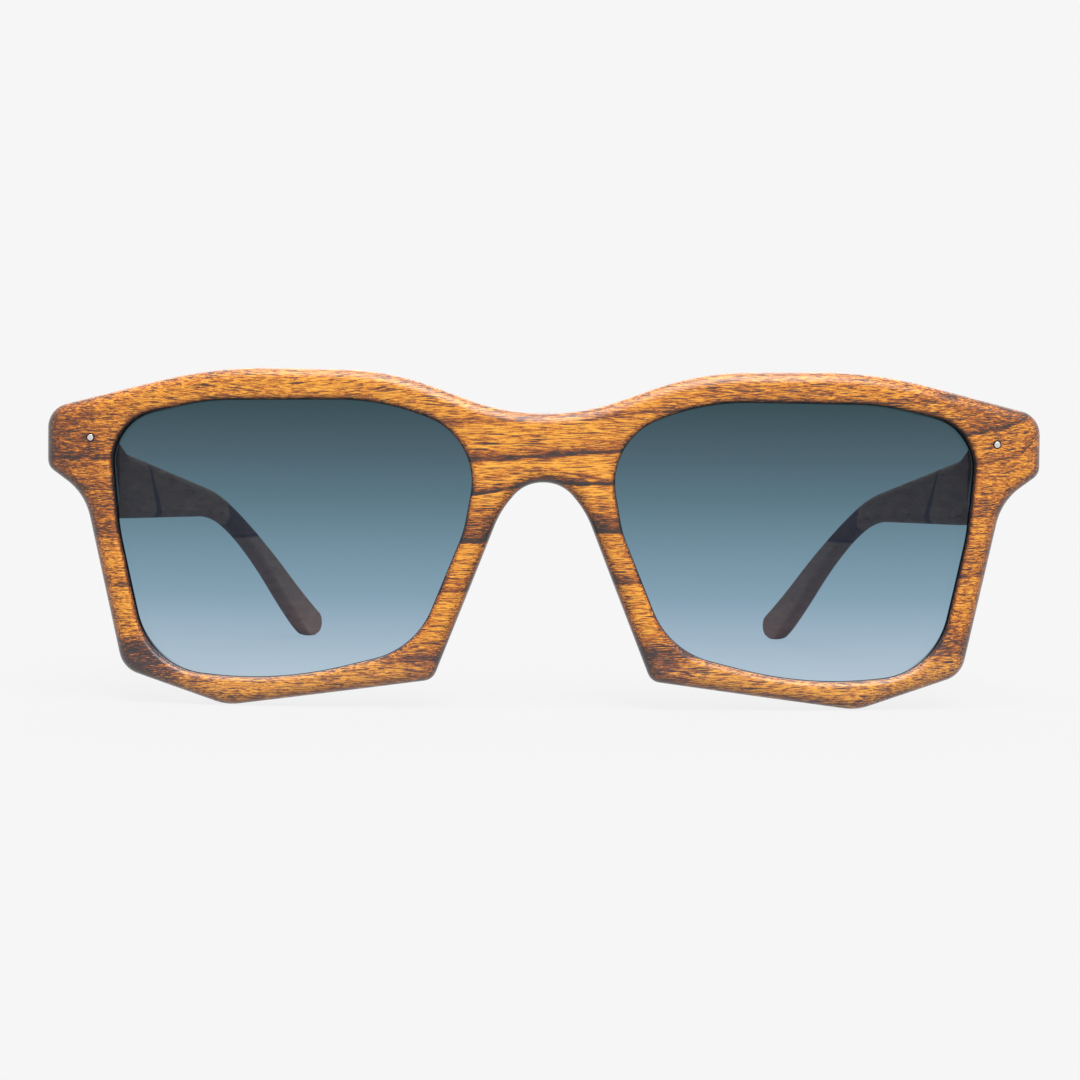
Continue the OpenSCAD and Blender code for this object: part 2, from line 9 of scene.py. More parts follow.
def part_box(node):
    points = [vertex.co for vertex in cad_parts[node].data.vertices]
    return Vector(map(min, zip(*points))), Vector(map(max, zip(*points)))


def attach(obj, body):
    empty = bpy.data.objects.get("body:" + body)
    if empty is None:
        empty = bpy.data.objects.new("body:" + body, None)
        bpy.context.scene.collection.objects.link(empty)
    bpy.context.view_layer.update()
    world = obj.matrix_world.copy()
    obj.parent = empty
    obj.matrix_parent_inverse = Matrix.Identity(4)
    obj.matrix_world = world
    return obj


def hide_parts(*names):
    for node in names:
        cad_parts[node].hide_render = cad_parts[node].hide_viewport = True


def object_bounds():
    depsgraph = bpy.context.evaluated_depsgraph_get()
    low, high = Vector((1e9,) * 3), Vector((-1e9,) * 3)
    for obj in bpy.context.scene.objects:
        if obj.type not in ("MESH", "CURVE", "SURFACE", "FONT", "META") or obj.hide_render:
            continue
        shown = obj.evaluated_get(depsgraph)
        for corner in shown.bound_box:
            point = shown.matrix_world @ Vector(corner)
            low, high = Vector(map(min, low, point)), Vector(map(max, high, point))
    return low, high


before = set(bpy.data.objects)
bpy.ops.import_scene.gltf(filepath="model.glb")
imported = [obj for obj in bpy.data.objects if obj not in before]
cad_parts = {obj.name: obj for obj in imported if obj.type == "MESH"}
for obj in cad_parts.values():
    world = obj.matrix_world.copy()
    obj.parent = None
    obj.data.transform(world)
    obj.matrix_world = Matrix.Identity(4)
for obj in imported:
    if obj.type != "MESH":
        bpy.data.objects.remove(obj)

cad_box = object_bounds()

# Front: both rims, the bridge and the two end pieces, carved from one plank of orange-brown wood.
# Its face is bent to a large radius, its edges are rounded over by hand and it has a satin varnish.
# The back carries a land for each hinge and the carved nose pads; a groove holds each lens.
MM = 0.001
LENS_W, LENS_H, BRIDGE_W = 52.4, 40.4, 20.6
BROW_RIM, LOWER_RIM, SIDE_RIM = 4.3, 3.9, 3.9
END_W, END_H, END_DROP = 10.1, 8.5, 5.9
BRIDGE_DIP, BRIDGE_H = 6.2, 9.9
WRAP_RADIUS, RIM_T, BLOCK_T, PAD_T = 300.0, 4.6, 7.0, 4.2
FACE_ROUND, BACK_ROUND, MOUTH_ROUND = 1.8, 1.4, 0.8
LENS_RADIUS, LENS_T, LENS_SINK = 180.0, 2.0, 0.3
GROOVE_D, LENS_PLAY, LIP_LAND = 0.7, 0.06, 0.1
OPEN_IN = BRIDGE_W / 2
OPEN_OUT = OPEN_IN + LENS_W
OPEN_LOW = LOWER_RIM
OPEN_TOP = OPEN_LOW + LENS_H
OPEN_MID = np.array([(OPEN_IN + OPEN_OUT) / 2, (OPEN_LOW + OPEN_TOP) / 2])
HALF_W = OPEN_OUT + END_W
BROW_Z = OPEN_TOP + BROW_RIM
BRIDGE_Z = BROW_Z - BRIDGE_DIP
ARCH_Z = BRIDGE_Z - BRIDGE_H
END_Z = BROW_Z - END_DROP
FRONT_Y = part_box("front_frame")[0].y / MM

# Corners of a lens opening, and of the outline's right half from the top of the bridge round to its arch:
# across, up and radius.
OPENING_CORNERS = [
    (OPEN_IN + 1, OPEN_TOP - 18.9, 17.5),
    (OPEN_IN - 1.4, OPEN_TOP - 5.5, 9.9),
    (OPEN_IN + 12.9, OPEN_TOP, 35),
    (OPEN_OUT - 14.4, OPEN_TOP - 0.2, 34),
    (OPEN_OUT + 0.8, OPEN_TOP - 3.2, 7.7),
    (OPEN_OUT - 0.8, OPEN_TOP - 19.2, 29),
    (OPEN_OUT - 5.3, OPEN_LOW + 1.1, 11.2),
    (OPEN_OUT - 24.6, OPEN_LOW - 0.6, 57),
    (OPEN_IN + 7.9, OPEN_LOW + 4.5, 12.3),
]
OUTLINE_CORNERS = [
    (0, BRIDGE_Z, 0),
    (OPEN_IN - 4.7, BRIDGE_Z, 32),
    (OPEN_IN + 11.9, BROW_Z - 0.2, 40),
    (OPEN_OUT - 15, BROW_Z + 0.2, 65),
    (HALF_W, END_Z, 3.6),
    (HALF_W, END_Z - END_H, 2),
    (OPEN_OUT + SIDE_RIM + 0.5, END_Z - END_H - 4, 8.7),
    (OPEN_OUT - 5.3 + SIDE_RIM, OPEN_LOW + 0.9, 4),
    (OPEN_OUT - 17, OPEN_LOW - LOWER_RIM - 0.2, 8),
    (OPEN_IN + 5.4, OPEN_LOW + 0.1, 2),
    (OPEN_IN - 4.1, ARCH_Z - 4.3, 14),
    (OPEN_IN - 7.6, ARCH_Z, 5.4),
    (0, ARCH_Z, 0),
]


def unit(v):
    return v / np.linalg.norm(v)


def ease(t):
    c = min(1.0, max(0.0, t))
    return c * c * (3 - 2 * c)


def face_y(x):
    """Depth of the wrapped face behind the bridge's face."""
    return WRAP_RADIUS - np.sqrt(WRAP_RADIUS ** 2 - x * x)


ARC_ROOM, ARC_STEPS = 0.999, 4


def rounded_run(corners, closed, step):
    """Points at most step apart along a run of corners (x, z, radius), each corner an arc."""
    places = np.array([c[:2] for c in corners], float)
    n = len(places)
    ends = () if closed else (0, n - 1)
    half, reach = np.zeros(n), np.zeros(n)
    for i in range(n):
        if i not in ends:
            u = unit(places[i - 1] - places[i])
            w = unit(places[(i + 1) % n] - places[i])
            half[i] = math.acos(max(-1.0, min(1.0, u @ w))) / 2
            reach[i] = corners[i][2] / math.tan(half[i])
    turns = []
    for i in range(n):
        p = places[i]
        if i in ends:
            turns.append(p[None])
            continue
        before = np.linalg.norm(places[i - 1] - p) / (reach[i] + reach[i - 1])
        after = np.linalg.norm(places[(i + 1) % n] - p) / (reach[i] + reach[(i + 1) % n])
        r = corners[i][2] * min(1, ARC_ROOM * before, ARC_ROOM * after)
        u = unit(places[i - 1] - p)
        w = unit(places[(i + 1) % n] - p)
        middle = p + unit(u + w) * r / math.sin(half[i])
        turn = math.pi - 2 * half[i]
        count = max(ARC_STEPS, math.ceil(r * turn / step))
        arm = p + u * r / math.tan(half[i]) - middle
        side = -1 if u[0] * w[1] - u[1] * w[0] > 0 else 1
        a = side * turn * np.arange(count + 1) / count
        turns.append(middle + np.column_stack([
            arm[0] * np.cos(a) - arm[1] * np.sin(a), arm[0] * np.sin(a) + arm[1] * np.cos(a)]))
    run = np.vstack(turns)
    pieces = []
    for i in range(len(run) if closed else len(run) - 1):
        a, b = run[i], run[(i + 1) % len(run)]
        count = max(1, math.ceil(np.linalg.norm(b - a) / step))
        pieces.append(a + (b - a) * np.arange(count)[:, None] / count)
    if not closed:
        pieces.append(run[-1][None])
    return np.vstack(pieces)


def right_of(run, closed):
    """Direction across a run at each of its points: to the right of the way it runs."""
    ahead = np.roll(run, -1, 0) - np.roll(run, 1, 0)
    if not closed:
        ahead[0], ahead[-1] = run[1] - run[0], run[-1] - run[-2]
    ahead /= np.linalg.norm(ahead, axis=1)[:, None]
    return np.column_stack([ahead[:, 1], -ahead[:, 0]])


LENS_TILT = math.asin(OPEN_MID[0] / WRAP_RADIUS)
LENS_CENTRE = (
    OPEN_MID[0] - LENS_RADIUS * math.sin(LENS_TILT),
    face_y(OPEN_MID[0]) + LENS_SINK + LENS_RADIUS * math.cos(LENS_TILT),
    OPEN_MID[1])


def lens_y(p, depth):
    """Depth of a lens surface, so far behind the lens's face, at a place on the front."""
    r = LENS_RADIUS - depth
    across, up = p[0] - LENS_CENTRE[0], p[1] - LENS_CENTRE[2]
    return LENS_CENTRE[1] - math.sqrt(r * r - across ** 2 - up ** 2)


BLOCK_Y = face_y(OPEN_OUT) + BLOCK_T
BLOCK_HIGH, BLOCK_H, BLOCK_BLEND = END_Z - 1, 13.2, 2.2
BLOCK_FROM, BLOCK_RUN = OPEN_OUT - 6, 4.0
PAD_LOW, PAD_HIGH, PAD_REACH = OPEN_LOW + 4, ARCH_Z - 4, OPEN_IN + 6
PAD_SWELL, PAD_LENS_SHARE = 1.5, 0.25


def back_t(p):
    """Thickness of the wood at a place: the rim, or the land for the hinge."""
    share = ease((p[0] - BLOCK_FROM) / BLOCK_RUN)
    share *= ease((p[1] - BLOCK_HIGH + BLOCK_H) / BLOCK_BLEND + 0.5)
    share *= ease((BLOCK_HIGH - p[1]) / BLOCK_BLEND + 0.5)
    return RIM_T + share * (BLOCK_Y - face_y(p[0]) - RIM_T)


def pad_share(p):
    """How much of the nose pad's height stands at a place."""
    t = (p[1] - PAD_LOW) / (PAD_HIGH - PAD_LOW)
    return math.sin(math.pi * t) ** PAD_SWELL if p[0] < PAD_REACH and 0 < t < 1 else 0.0


STATION_STEP, MIDDLE_STATIONS, OPENING_STEP, CLOSE = 0.55, 12, 0.3, 1e-6
FACE_STEPS, BACK_STEPS, MOUTH_STEPS, STRIP_STEPS = 9, 7, 6, 5
outline_run = rounded_run(OUTLINE_CORNERS, False, STATION_STEP)
outline_across = right_of(outline_run, False)
outline_across[0], outline_across[-1] = (0, -1), (0, 1)
middle_z = np.linspace(ARCH_Z + FACE_ROUND, BRIDGE_Z - FACE_ROUND, MIDDLE_STATIONS + 2)[1:-1]
outer_run = np.vstack([outline_run, np.column_stack([np.zeros(MIDDLE_STATIONS), middle_z])])
opening_loop = rounded_run(OPENING_CORNERS, True, OPENING_STEP)
opening_across = -right_of(opening_loop, True)
HUB = np.array([OPEN_MID[0], ARCH_Z + 0.5])


def facing_place(target):
    """Where the opening's edge faces a place on the outline, and the way into the wood there."""
    way = target - HUB
    a = opening_loop - HUB
    e = np.roll(opening_loop, -1, 0) - opening_loop
    den = way[0] * e[:, 1] - way[1] * e[:, 0]
    t = (a[:, 0] * e[:, 1] - a[:, 1] * e[:, 0]) / den
    s = (a[:, 0] * way[1] - a[:, 1] * way[0]) / den
    i = np.flatnonzero((t > 0) & (s > -CLOSE) & (s < 1 + CLOSE))[0]
    n = opening_across[i] * (1 - s[i]) + opening_across[(i + 1) % len(opening_loop)] * s[i]
    return HUB + way * t[i], unit(n)


def at_depth(p, t):
    return (p[0], face_y(p[0]) + t, p[1])


def strip(a, b, on_face):
    """Points between two points across the face or the back."""
    points = []
    for i in range(1, STRIP_STEPS):
        s = i / STRIP_STEPS
        x, z = a[0] + (b[0] - a[0]) * s, a[2] + (b[2] - a[2]) * s
        points.append((x, face_y(x) if on_face else a[1] + (b[1] - a[1]) * s, z))
    return points


def rim_section(k):
    """One section through the rim, from the face round the outer edge, the back and the lens groove."""
    o = outer_run[k]
    q, m = facing_place(o)
    if k < len(outline_run):
        n = outline_across[k]
        t = back_t(o + n * BACK_ROUND) + PAD_T * pad_share(o)
        edge = []
        for a in np.linspace(0, math.pi / 2, FACE_STEPS + 1):
            depth = FACE_ROUND * (1 - math.cos(a))
            edge.append(at_depth(o + n * FACE_ROUND * (1 - math.sin(a)), depth))
        for a in np.linspace(0, math.pi / 2, BACK_STEPS + 1):
            depth = t - BACK_ROUND * (1 - math.sin(a))
            edge.append(at_depth(o + n * BACK_ROUND * (1 - math.cos(a)), depth))
    else:
        edge = [at_depth(o, 0)] * (FACE_STEPS + 1) + [at_depth(o, RIM_T)] * (BACK_STEPS + 1)
    lip_front = lens_y(q, 0) - LENS_PLAY - face_y(q[0])
    lip_back = lens_y(q, LENS_T) + LENS_PLAY - face_y(q[0])
    t = back_t(q + m * MOUTH_ROUND) + PAD_LENS_SHARE * PAD_T * pad_share(o)
    t = max(t, lip_back + 2 * LIP_LAND)
    back_r = min(MOUTH_ROUND, t - lip_back - LIP_LAND)
    front_r = min(MOUTH_ROUND, lip_front - LIP_LAND)
    g = q + m * GROOVE_D
    mouth = []
    for a in np.linspace(0, math.pi / 2, MOUTH_STEPS + 1):
        mouth.append(at_depth(q + m * back_r * (1 - math.sin(a)), t - back_r * (1 - math.cos(a))))
    mouth += [at_depth(q, lip_back), (g[0], lens_y(g, LENS_T / 2), g[1]), at_depth(q, lip_front)]
    for a in np.linspace(0, math.pi / 2, MOUTH_STEPS + 1):
        mouth.append(at_depth(q + m * front_r * (1 - math.cos(a)), front_r * (1 - math.sin(a))))
    return edge + strip(edge[-1], mouth[0], False) + mouth + strip(mouth[-1], edge[0], True)


def placed(points, side):
    """Points in millimetres behind the bridge's face, on the right side or mirrored to the left with side -1,
    as places in metres inside the part's box."""
    made = []
    for x, y, z in points:
        place = (side * x * MM, (y + FRONT_Y) * MM, z * MM)
        made.append(tuple(min(max(v, a), b) for v, a, b in zip(place, *cad_box)))
    return made


WELD = 1e-7


def closed_mesh(name, points, faces):
    """A mesh whose doubled points are merged and whose faces point outwards."""
    work = bmesh.new()
    made = [work.verts.new(p) for p in points]
    for f in faces:
        work.faces.new([made[i] for i in f])
    bmesh.ops.remove_doubles(work, verts=work.verts, dist=WELD)
    bmesh.ops.dissolve_degenerate(work, edges=work.edges, dist=WELD)
    bmesh.ops.recalc_face_normals(work, faces=work.faces)
    mesh = bpy.data.meshes.new(name)
    work.to_mesh(mesh)
    work.free()
    return mesh


def in_scene(name, data):
    """An object of the given mesh, lamp or camera, put into the scene."""
    made = bpy.data.objects.new(name, data)
    bpy.context.scene.collection.objects.link(made)
    return made


def work_in(piece, modifier):
    """Works one modifier into the piece's mesh and takes it off."""
    bpy.context.view_layer.update()
    made = bpy.data.meshes.new_from_object(piece.evaluated_get(bpy.context.evaluated_depsgraph_get()))
    piece.modifiers.remove(modifier)
    piece.data = made


def cut_away(piece, cutters):
    """Cuts the cutters' volumes out of a piece and leaves it a plain mesh."""
    for cutter in cutters:
        cut = piece.modifiers.new("cut", "BOOLEAN")
        cut.operation, cut.solver, cut.object = "DIFFERENCE", "EXACT", cutter
        work_in(piece, cut)
        bpy.data.objects.remove(cutter)


def crisp(piece, sharp):
    """Soft shading, kept crisp where the surface turns by more than sharp degrees."""
    piece.data.shade_smooth()
    piece.data.set_sharp_from_angle(angle=math.radians(sharp))


def solid_prism(name, outline, way):
    """A closed prism for cutting: an outline of points, pushed along a way."""
    n = len(outline)
    low = [Vector(p) for p in outline]
    high = [p + Vector(way) for p in low]
    faces = [list(range(n)), list(range(2 * n - 1, n - 1, -1))]
    faces += [[i, n + i, n + (i + 1) % n, (i + 1) % n] for i in range(n)]
    return in_scene(name, closed_mesh(name, low + high, faces))


sections = [rim_section(k) for k in range(len(outer_run))]
section_n = len(sections[0])
edge_n = FACE_STEPS + BACK_STEPS + 2
outline_n, station_n = len(outline_run), len(outer_run)
front_points, front_faces = [], []
for side in (1, -1):
    base = len(front_points)
    for section in sections:
        front_points += placed(section, side)
    for k in range(station_n):
        m = (k + 1) % station_n
        between_halves = k >= outline_n or m >= outline_n
        for j in range(section_n):
            if between_halves and j < edge_n - 1:
                continue
            i = (j + 1) % section_n
            here, there = base + k * section_n, base + m * section_n
            front_faces.append([here + j, there + j, there + i, here + i][::side])
front = in_scene("front", closed_mesh("front", front_points, front_faces))

KNUCKLE_R, KNUCKLE_H, KNUCKLE_GAP = 1.5, 2.2, 0.05
LEAF_CLEAR, LEAF_T, LEAF_W, LEAF_OVER, LEAF_EAR_H, LEAF_FOOT_W = 0.25, 1.2, 5.3, 2.2, 5.4, 2.8
SEAT_GAP, RIVET_ASIDE, RIVET_D, RIVET_RING = 0.06, 1.1, 0.9, 0.17
CUT_STEP, CUT_PAST, HOLE_SIDES, WOOD_SHARP = 0.4, 1, 48, 35
ARM_OFFSET, HINGE_DROP = 0.7, 8.7
AXIS_X = OPEN_OUT + ARM_OFFSET + KNUCKLE_R
AXIS_Y = BLOCK_Y + LEAF_CLEAR + KNUCKLE_R
HINGE_Z = END_Z - HINGE_DROP
HINGE_H = 3 * KNUCKLE_H + 2 * KNUCKLE_GAP
HINGE_LOW = HINGE_Z - HINGE_H / 2
LEAF_IN = AXIS_X - RIVET_ASIDE
LEAF_OUT = LEAF_IN + LEAF_W
LEAF_HIGH = HINGE_LOW + HINGE_H + LEAF_OVER
RIVET_X, RIVET_Z = AXIS_X + RIVET_ASIDE, LEAF_HIGH - LEAF_OVER / 2
POCKET_CORNERS = [
    (LEAF_IN - SEAT_GAP, HINGE_LOW - SEAT_GAP, 0.1),
    (LEAF_IN - SEAT_GAP, LEAF_HIGH + SEAT_GAP, 0.8),
    (LEAF_OUT + SEAT_GAP, LEAF_HIGH + SEAT_GAP, 1.2),
    (LEAF_OUT + SEAT_GAP, LEAF_HIGH - LEAF_EAR_H - SEAT_GAP, 1.5),
    (LEAF_IN + LEAF_FOOT_W + SEAT_GAP, HINGE_LOW - SEAT_GAP, 0.8),
]
pocket_run = rounded_run(POCKET_CORNERS, True, CUT_STEP)
ring = np.linspace(0, 2 * math.pi, HOLE_SIDES + 1)[:-1]
RING_R = RIVET_D / 2 + RIVET_RING
leaf_pocket = [(x, BLOCK_Y - LEAF_T, z) for x, z in pocket_run]
rivet_hole = [(RIVET_X + RING_R * math.cos(a), 0, RIVET_Z + RING_R * math.sin(a)) for a in ring]
cutters = []
for side in (1, -1):
    cutters.append(solid_prism("pocket_cut", placed(leaf_pocket, side), (0, (LEAF_T + CUT_PAST) * MM, 0)))
    cutters.append(solid_prism("rivet_cut", placed(rivet_hole, side), (0, BLOCK_Y * MM, 0)))
cut_away(front, cutters)
crisp(front, WOOD_SHARP)


class Nodes:
    """Short words for building a material's nodes: each call adds one node and gives its output."""

    def __init__(self, name):
        self.material = bpy.data.materials.new(name)
        self.material.use_nodes = True
        self.tree = self.material.node_tree
        self.tree.nodes.clear()
        self.place = self.add("ShaderNodeTexCoord").outputs["Object"]

    def millimetres(self):
        return self.scaled(self.place, (1000, 1000, 1000))

    def add(self, kind, **settings):
        node = self.tree.nodes.new(kind)
        for key, value in settings.items():
            setattr(node, key, value)
        return node

    def put(self, value, target):
        if isinstance(value, bpy.types.NodeSocket):
            self.tree.links.new(value, target)
        else:
            target.default_value = value

    def fed(self, node, *values):
        for value, target in zip(values, node.inputs):
            self.put(value, target)
        return node.outputs

    def math(self, operation, a, b=0.0, c=0.0, clamp=False):
        node = self.add("ShaderNodeMath", operation=operation, use_clamp=clamp)
        return self.fed(node, a, b, c)[0]

    def times(self, a, b):
        return self.math("MULTIPLY", a, b)

    def plus(self, a, b):
        return self.math("ADD", a, b)

    def less(self, a, b):
        return self.math("SUBTRACT", a, b)

    def scaled(self, vector, factors):
        return self.fed(self.add("ShaderNodeVectorMath", operation="MULTIPLY"), vector, factors)[0]

    def parts(self, vector):
        return self.fed(self.add("ShaderNodeSeparateXYZ"), vector)

    def joined(self, x, y, z):
        return self.fed(self.add("ShaderNodeCombineXYZ"), x, y, z)[0]

    def noise(self, vector, detail, roughness=0.5):
        node = self.add("ShaderNodeTexNoise")
        self.put(vector, node.inputs["Vector"])
        node.inputs["Scale"].default_value = 1.0
        node.inputs["Detail"].default_value = detail
        node.inputs["Roughness"].default_value = roughness
        return node.outputs["Fac"]

    def cells(self, vector):
        """Distance from the middle of the nearest of many scattered cells, and that cell's random number."""
        node = self.add("ShaderNodeTexVoronoi")
        self.put(vector, node.inputs["Vector"])
        node.inputs["Scale"].default_value = 1.0
        return node.outputs["Distance"], self.parts(node.outputs["Color"])[0]

    def attribute(self, name):
        return self.add("ShaderNodeAttribute", attribute_name=name).outputs["Fac"]

    def span(self, value, low, high, to_low=0.0, to_high=1.0, smooth=False):
        node = self.add("ShaderNodeMapRange", interpolation_type="SMOOTHSTEP" if smooth else "LINEAR")
        return self.fed(node, value, low, high, to_low, to_high)[0]

    def ramp(self, value, stops):
        node = self.add("ShaderNodeValToRGB")
        elements = node.color_ramp.elements
        while len(elements) > 1:
            elements.remove(elements[-1])
        elements[0].position, elements[0].color = stops[0][0], (*stops[0][1], 1)
        for position, colour in stops[1:]:
            elements.new(position).color = (*colour, 1)
        self.put(value, node.inputs["Fac"])
        return node.outputs["Color"]

    def curve(self, value, points):
        node = self.add("ShaderNodeFloatCurve")
        line = node.mapping.curves[0]
        line.points[0].location, line.points[1].location = points[0], points[-1]
        for x, y in points[1:-1]:
            line.points.new(x, y)
        node.mapping.update()
        self.put(value, node.inputs["Value"])
        return node.outputs["Value"]

    def mixed(self, share, a, b, blend="MIX"):
        node = self.add("ShaderNodeMix", data_type="RGBA", blend_type=blend)
        self.put(share, node.inputs["Factor"])
        self.put(a, node.inputs[6])
        self.put(b, node.inputs[7])
        return node.outputs[2]

    def bump(self, height, strength, distance):
        node = self.add("ShaderNodeBump")
        node.inputs["Strength"].default_value = strength
        node.inputs["Distance"].default_value = distance
        self.put(height, node.inputs["Height"])
        return node.outputs["Normal"]

    def finish(self, **inputs):
        shader = self.add("ShaderNodeBsdfPrincipled")
        for key, value in inputs.items():
            self.put(value, shader.inputs[key.replace("_", " ")])
        out = self.add("ShaderNodeOutputMaterial")
        self.tree.links.new(shader.outputs[0], out.inputs["Surface"])
        return self.material


def linear(r, g, b):
    """A colour as a paint chart gives it, in 0 to 255, as linear light."""
    shares = (c / 255 for c in (r, g, b))
    return tuple(s / 12.92 if s <= 0.04045 else ((s + 0.055) / 1.055) ** 2.4 for s in shares)


def dress(piece, material):
    """Gives a piece one material all over."""
    piece.data.materials.clear()
    piece.data.materials.append(material)


WOOD_STOPS = [
    (0.0, linear(255, 183, 62)),
    (0.2, linear(230, 139, 28)),
    (0.42, linear(169, 83, 8)),
    (0.65, linear(88, 37, 3)),
    (1.0, linear(18, 8, 3)),
]
# Growth rings: height of the crisp lower edge, darkness at it and just above it, and how far up it fades.
GROWTH_RINGS = [
    (7.0, 0.4, 0.3, 2.2), (17.2, 0.6, 0.34, 3.0), (24.6, 0.62, 0.42, 3.4),
    (31.2, 0.74, 0.24, 1.5), (36.0, 0.74, 0.34, 2.2), (41.5, 0.3, 0.15, 1.5)]
RINGS_TOP, RING_START, RING_END, RING_LEAN = 52.0, 0.1, 0.05, 0.05
# Rise of the rings from the left end to the right one, in shares of the width and of the whole rise.
RING_RISE = [
    (0.0, 0.27), (0.1, 0.3), (0.43, 0.32), (0.5, 0.38), (0.57, 0.45), (0.8, 0.55), (0.91, 0.68), (0.975, 1.0)]
RISE_AT_BRIDGE, WHOLE_RISE, RISE_HALF_W = 0.38, 11.5, 75
BRIDGE_ARCH, ARCH_NARROWS = 1.2, -0.035
# Patterns of the grain: how often each repeats in a millimetre across the face, into the wood and up.
WAVER, JITTER, BREAKS = (0.05, 0.12, 0.16), (0.5, 1.2, 2.2), (0.16, 0.3, 0.5)
MOTTLE, CROWDING, FIBRE = (0.3, 1.2, 3.0), (0.08, 0.2, 0.22), (0.55, 4.0, 8.5)
# Long and short pores: cells in a millimetre along and up, and the distances at which a dash fades and ends.
PORES, PORES_DEEP = ((0.15, 3.4, 0.22, 0.32), (0.32, 5.4, 0.24, 0.34)), 1.1
# The left brow, where the pores climb: its middle, its half width and the climb.
BROW_X, BROW_HALF_W, BROW_CLIMB = -26, 13, 0.2
# Patches of darker tone, some of them heartwood, and some paler ones: middle, half width, half height and
# darkness.
TONE_PATCHES = [
    (-59, 6, 8, 3.4, 0.72), (-14.5, 6.4, 6, 3, 0.32), (14.8, 6.2, 6, 3.4, 0.6), (60, 9.8, 5, 2.6, 0.3),
    (1, 33.5, 3, 0.3, 0.34), (0, 34.3, 9, 1.1, -0.1), (8.9, 26.8, 2, 1.8, 0.3), (-8.8, 26.6, 2.4, 2.2, 0.25),
    (-72, 37, 6, 7, 0.38), (-64, 38, 7, 5, 0.18), (66, 44, 9, 2.2, 0.26), (-64, 27.5, 4, 4.5, 0.32),
    (66, 36, 8, 8, 0.14), (60, 26.5, 5, 5, 0.14), (32, 45.5, 16, 3, 0.12), (60, 18, 4, 8, 0.1),
    (-38, 2, 24, 2, -0.1), (38, 2.4, 30, 2, -0.06)]
GRAIN_AND_SHADE_DARK, ALL_DARK = 0.48, 0.07
# The last colour is the near black of the painted shade on the openings' walls behind the lens.
LOWER_GREY, LOWER_COOL, WALL_SHADE_COLOUR = linear(120, 96, 80), (0.0, 0.002, 0.016), linear(24, 19, 17)


def ring_height(w, mm):
    """Height in the plank, counted across its growth rings, and how far the rings have risen there."""
    x, y, z = w.parts(mm)
    rise = w.curve(w.span(x, -RISE_HALF_W, RISE_HALF_W), RING_RISE)
    rise = w.times(w.less(rise, RISE_AT_BRIDGE), WHOLE_RISE)
    rise = w.times(rise, w.span(z, 4, 36))
    arch = w.math("EXPONENT", w.times(w.times(x, x), ARCH_NARROWS))
    arch = w.times(w.times(arch, BRIDGE_ARCH), w.span(z, 35.5, 33.0, 0, 1, True))
    h = w.less(z, w.plus(rise, arch))
    for pattern, detail, roughness, amount in ((WAVER, 3, 0.55, 2.2), (JITTER, 2, 0.5, 0.6)):
        wave = w.noise(w.scaled(mm, pattern), detail, roughness)
        h = w.plus(h, w.times(w.less(wave, 0.5), amount))
    depth = w.less(y, FRONT_Y)
    return w.less(h, w.times(depth, RING_LEAN)), rise


def ring_darkness(w, mm, h):
    """Growth rings, dark above a crisp edge, broken here and there and fainter towards both ends."""
    x = w.parts(mm)[0]
    stops = [(0.0, (RING_START,) * 3)]
    for height, core, shade, fade in GROWTH_RINGS:
        for up, darkness in ((-0.12, 0.0), (0.1, core), (0.4, core), (0.8, shade), (fade, RING_END)):
            stops.append(((height + up) / RINGS_TOP, (darkness,) * 3))
    ringed = w.ramp(w.math("DIVIDE", h, RINGS_TOP), stops)
    broken = w.span(w.noise(w.scaled(mm, BREAKS), 2), 0.3, 0.62, 0.55, 1.15)
    right_end = w.times(w.span(x, 54, 64), w.span(h, 34.6, 33.4, 0.25, 0.6))
    strength = w.less(w.span(x, -64, -50, 0.4, 1), right_end)
    return w.times(ringed, w.times(broken, strength))


def pore_dashes(w, mm, rise):
    """Short dashes along the grain, which follows half the rings' rise and climbs at the left brow."""
    x, y, z = w.parts(mm)
    brow = w.math("MULTIPLY_ADD", x, 1 / BROW_HALF_W, -BROW_X / BROW_HALF_W)
    brow = w.math("EXPONENT", w.times(w.times(brow, brow), -1.0))
    climb = w.times(w.less(x, BROW_X), BROW_CLIMB)
    climb = w.times(climb, w.times(brow, w.span(z, 37, 41)))
    level = w.less(w.less(z, climb), w.times(rise, 0.5))
    crowd = w.span(w.noise(w.scaled(mm, CROWDING), 1), 0.35, 0.65, 0.75, 0.3)
    deep = w.times(y, PORES_DEEP)
    pore = 0.0
    for along_x, up_z, near, far in PORES:
        spot = w.joined(w.times(x, along_x), deep, w.times(level, up_z))
        distance, chance = w.cells(spot)
        dash = w.times(w.span(distance, near, far, 1, 0), w.math("GREATER_THAN", chance, crowd))
        pore = w.math("MAXIMUM", pore, dash)
    return pore


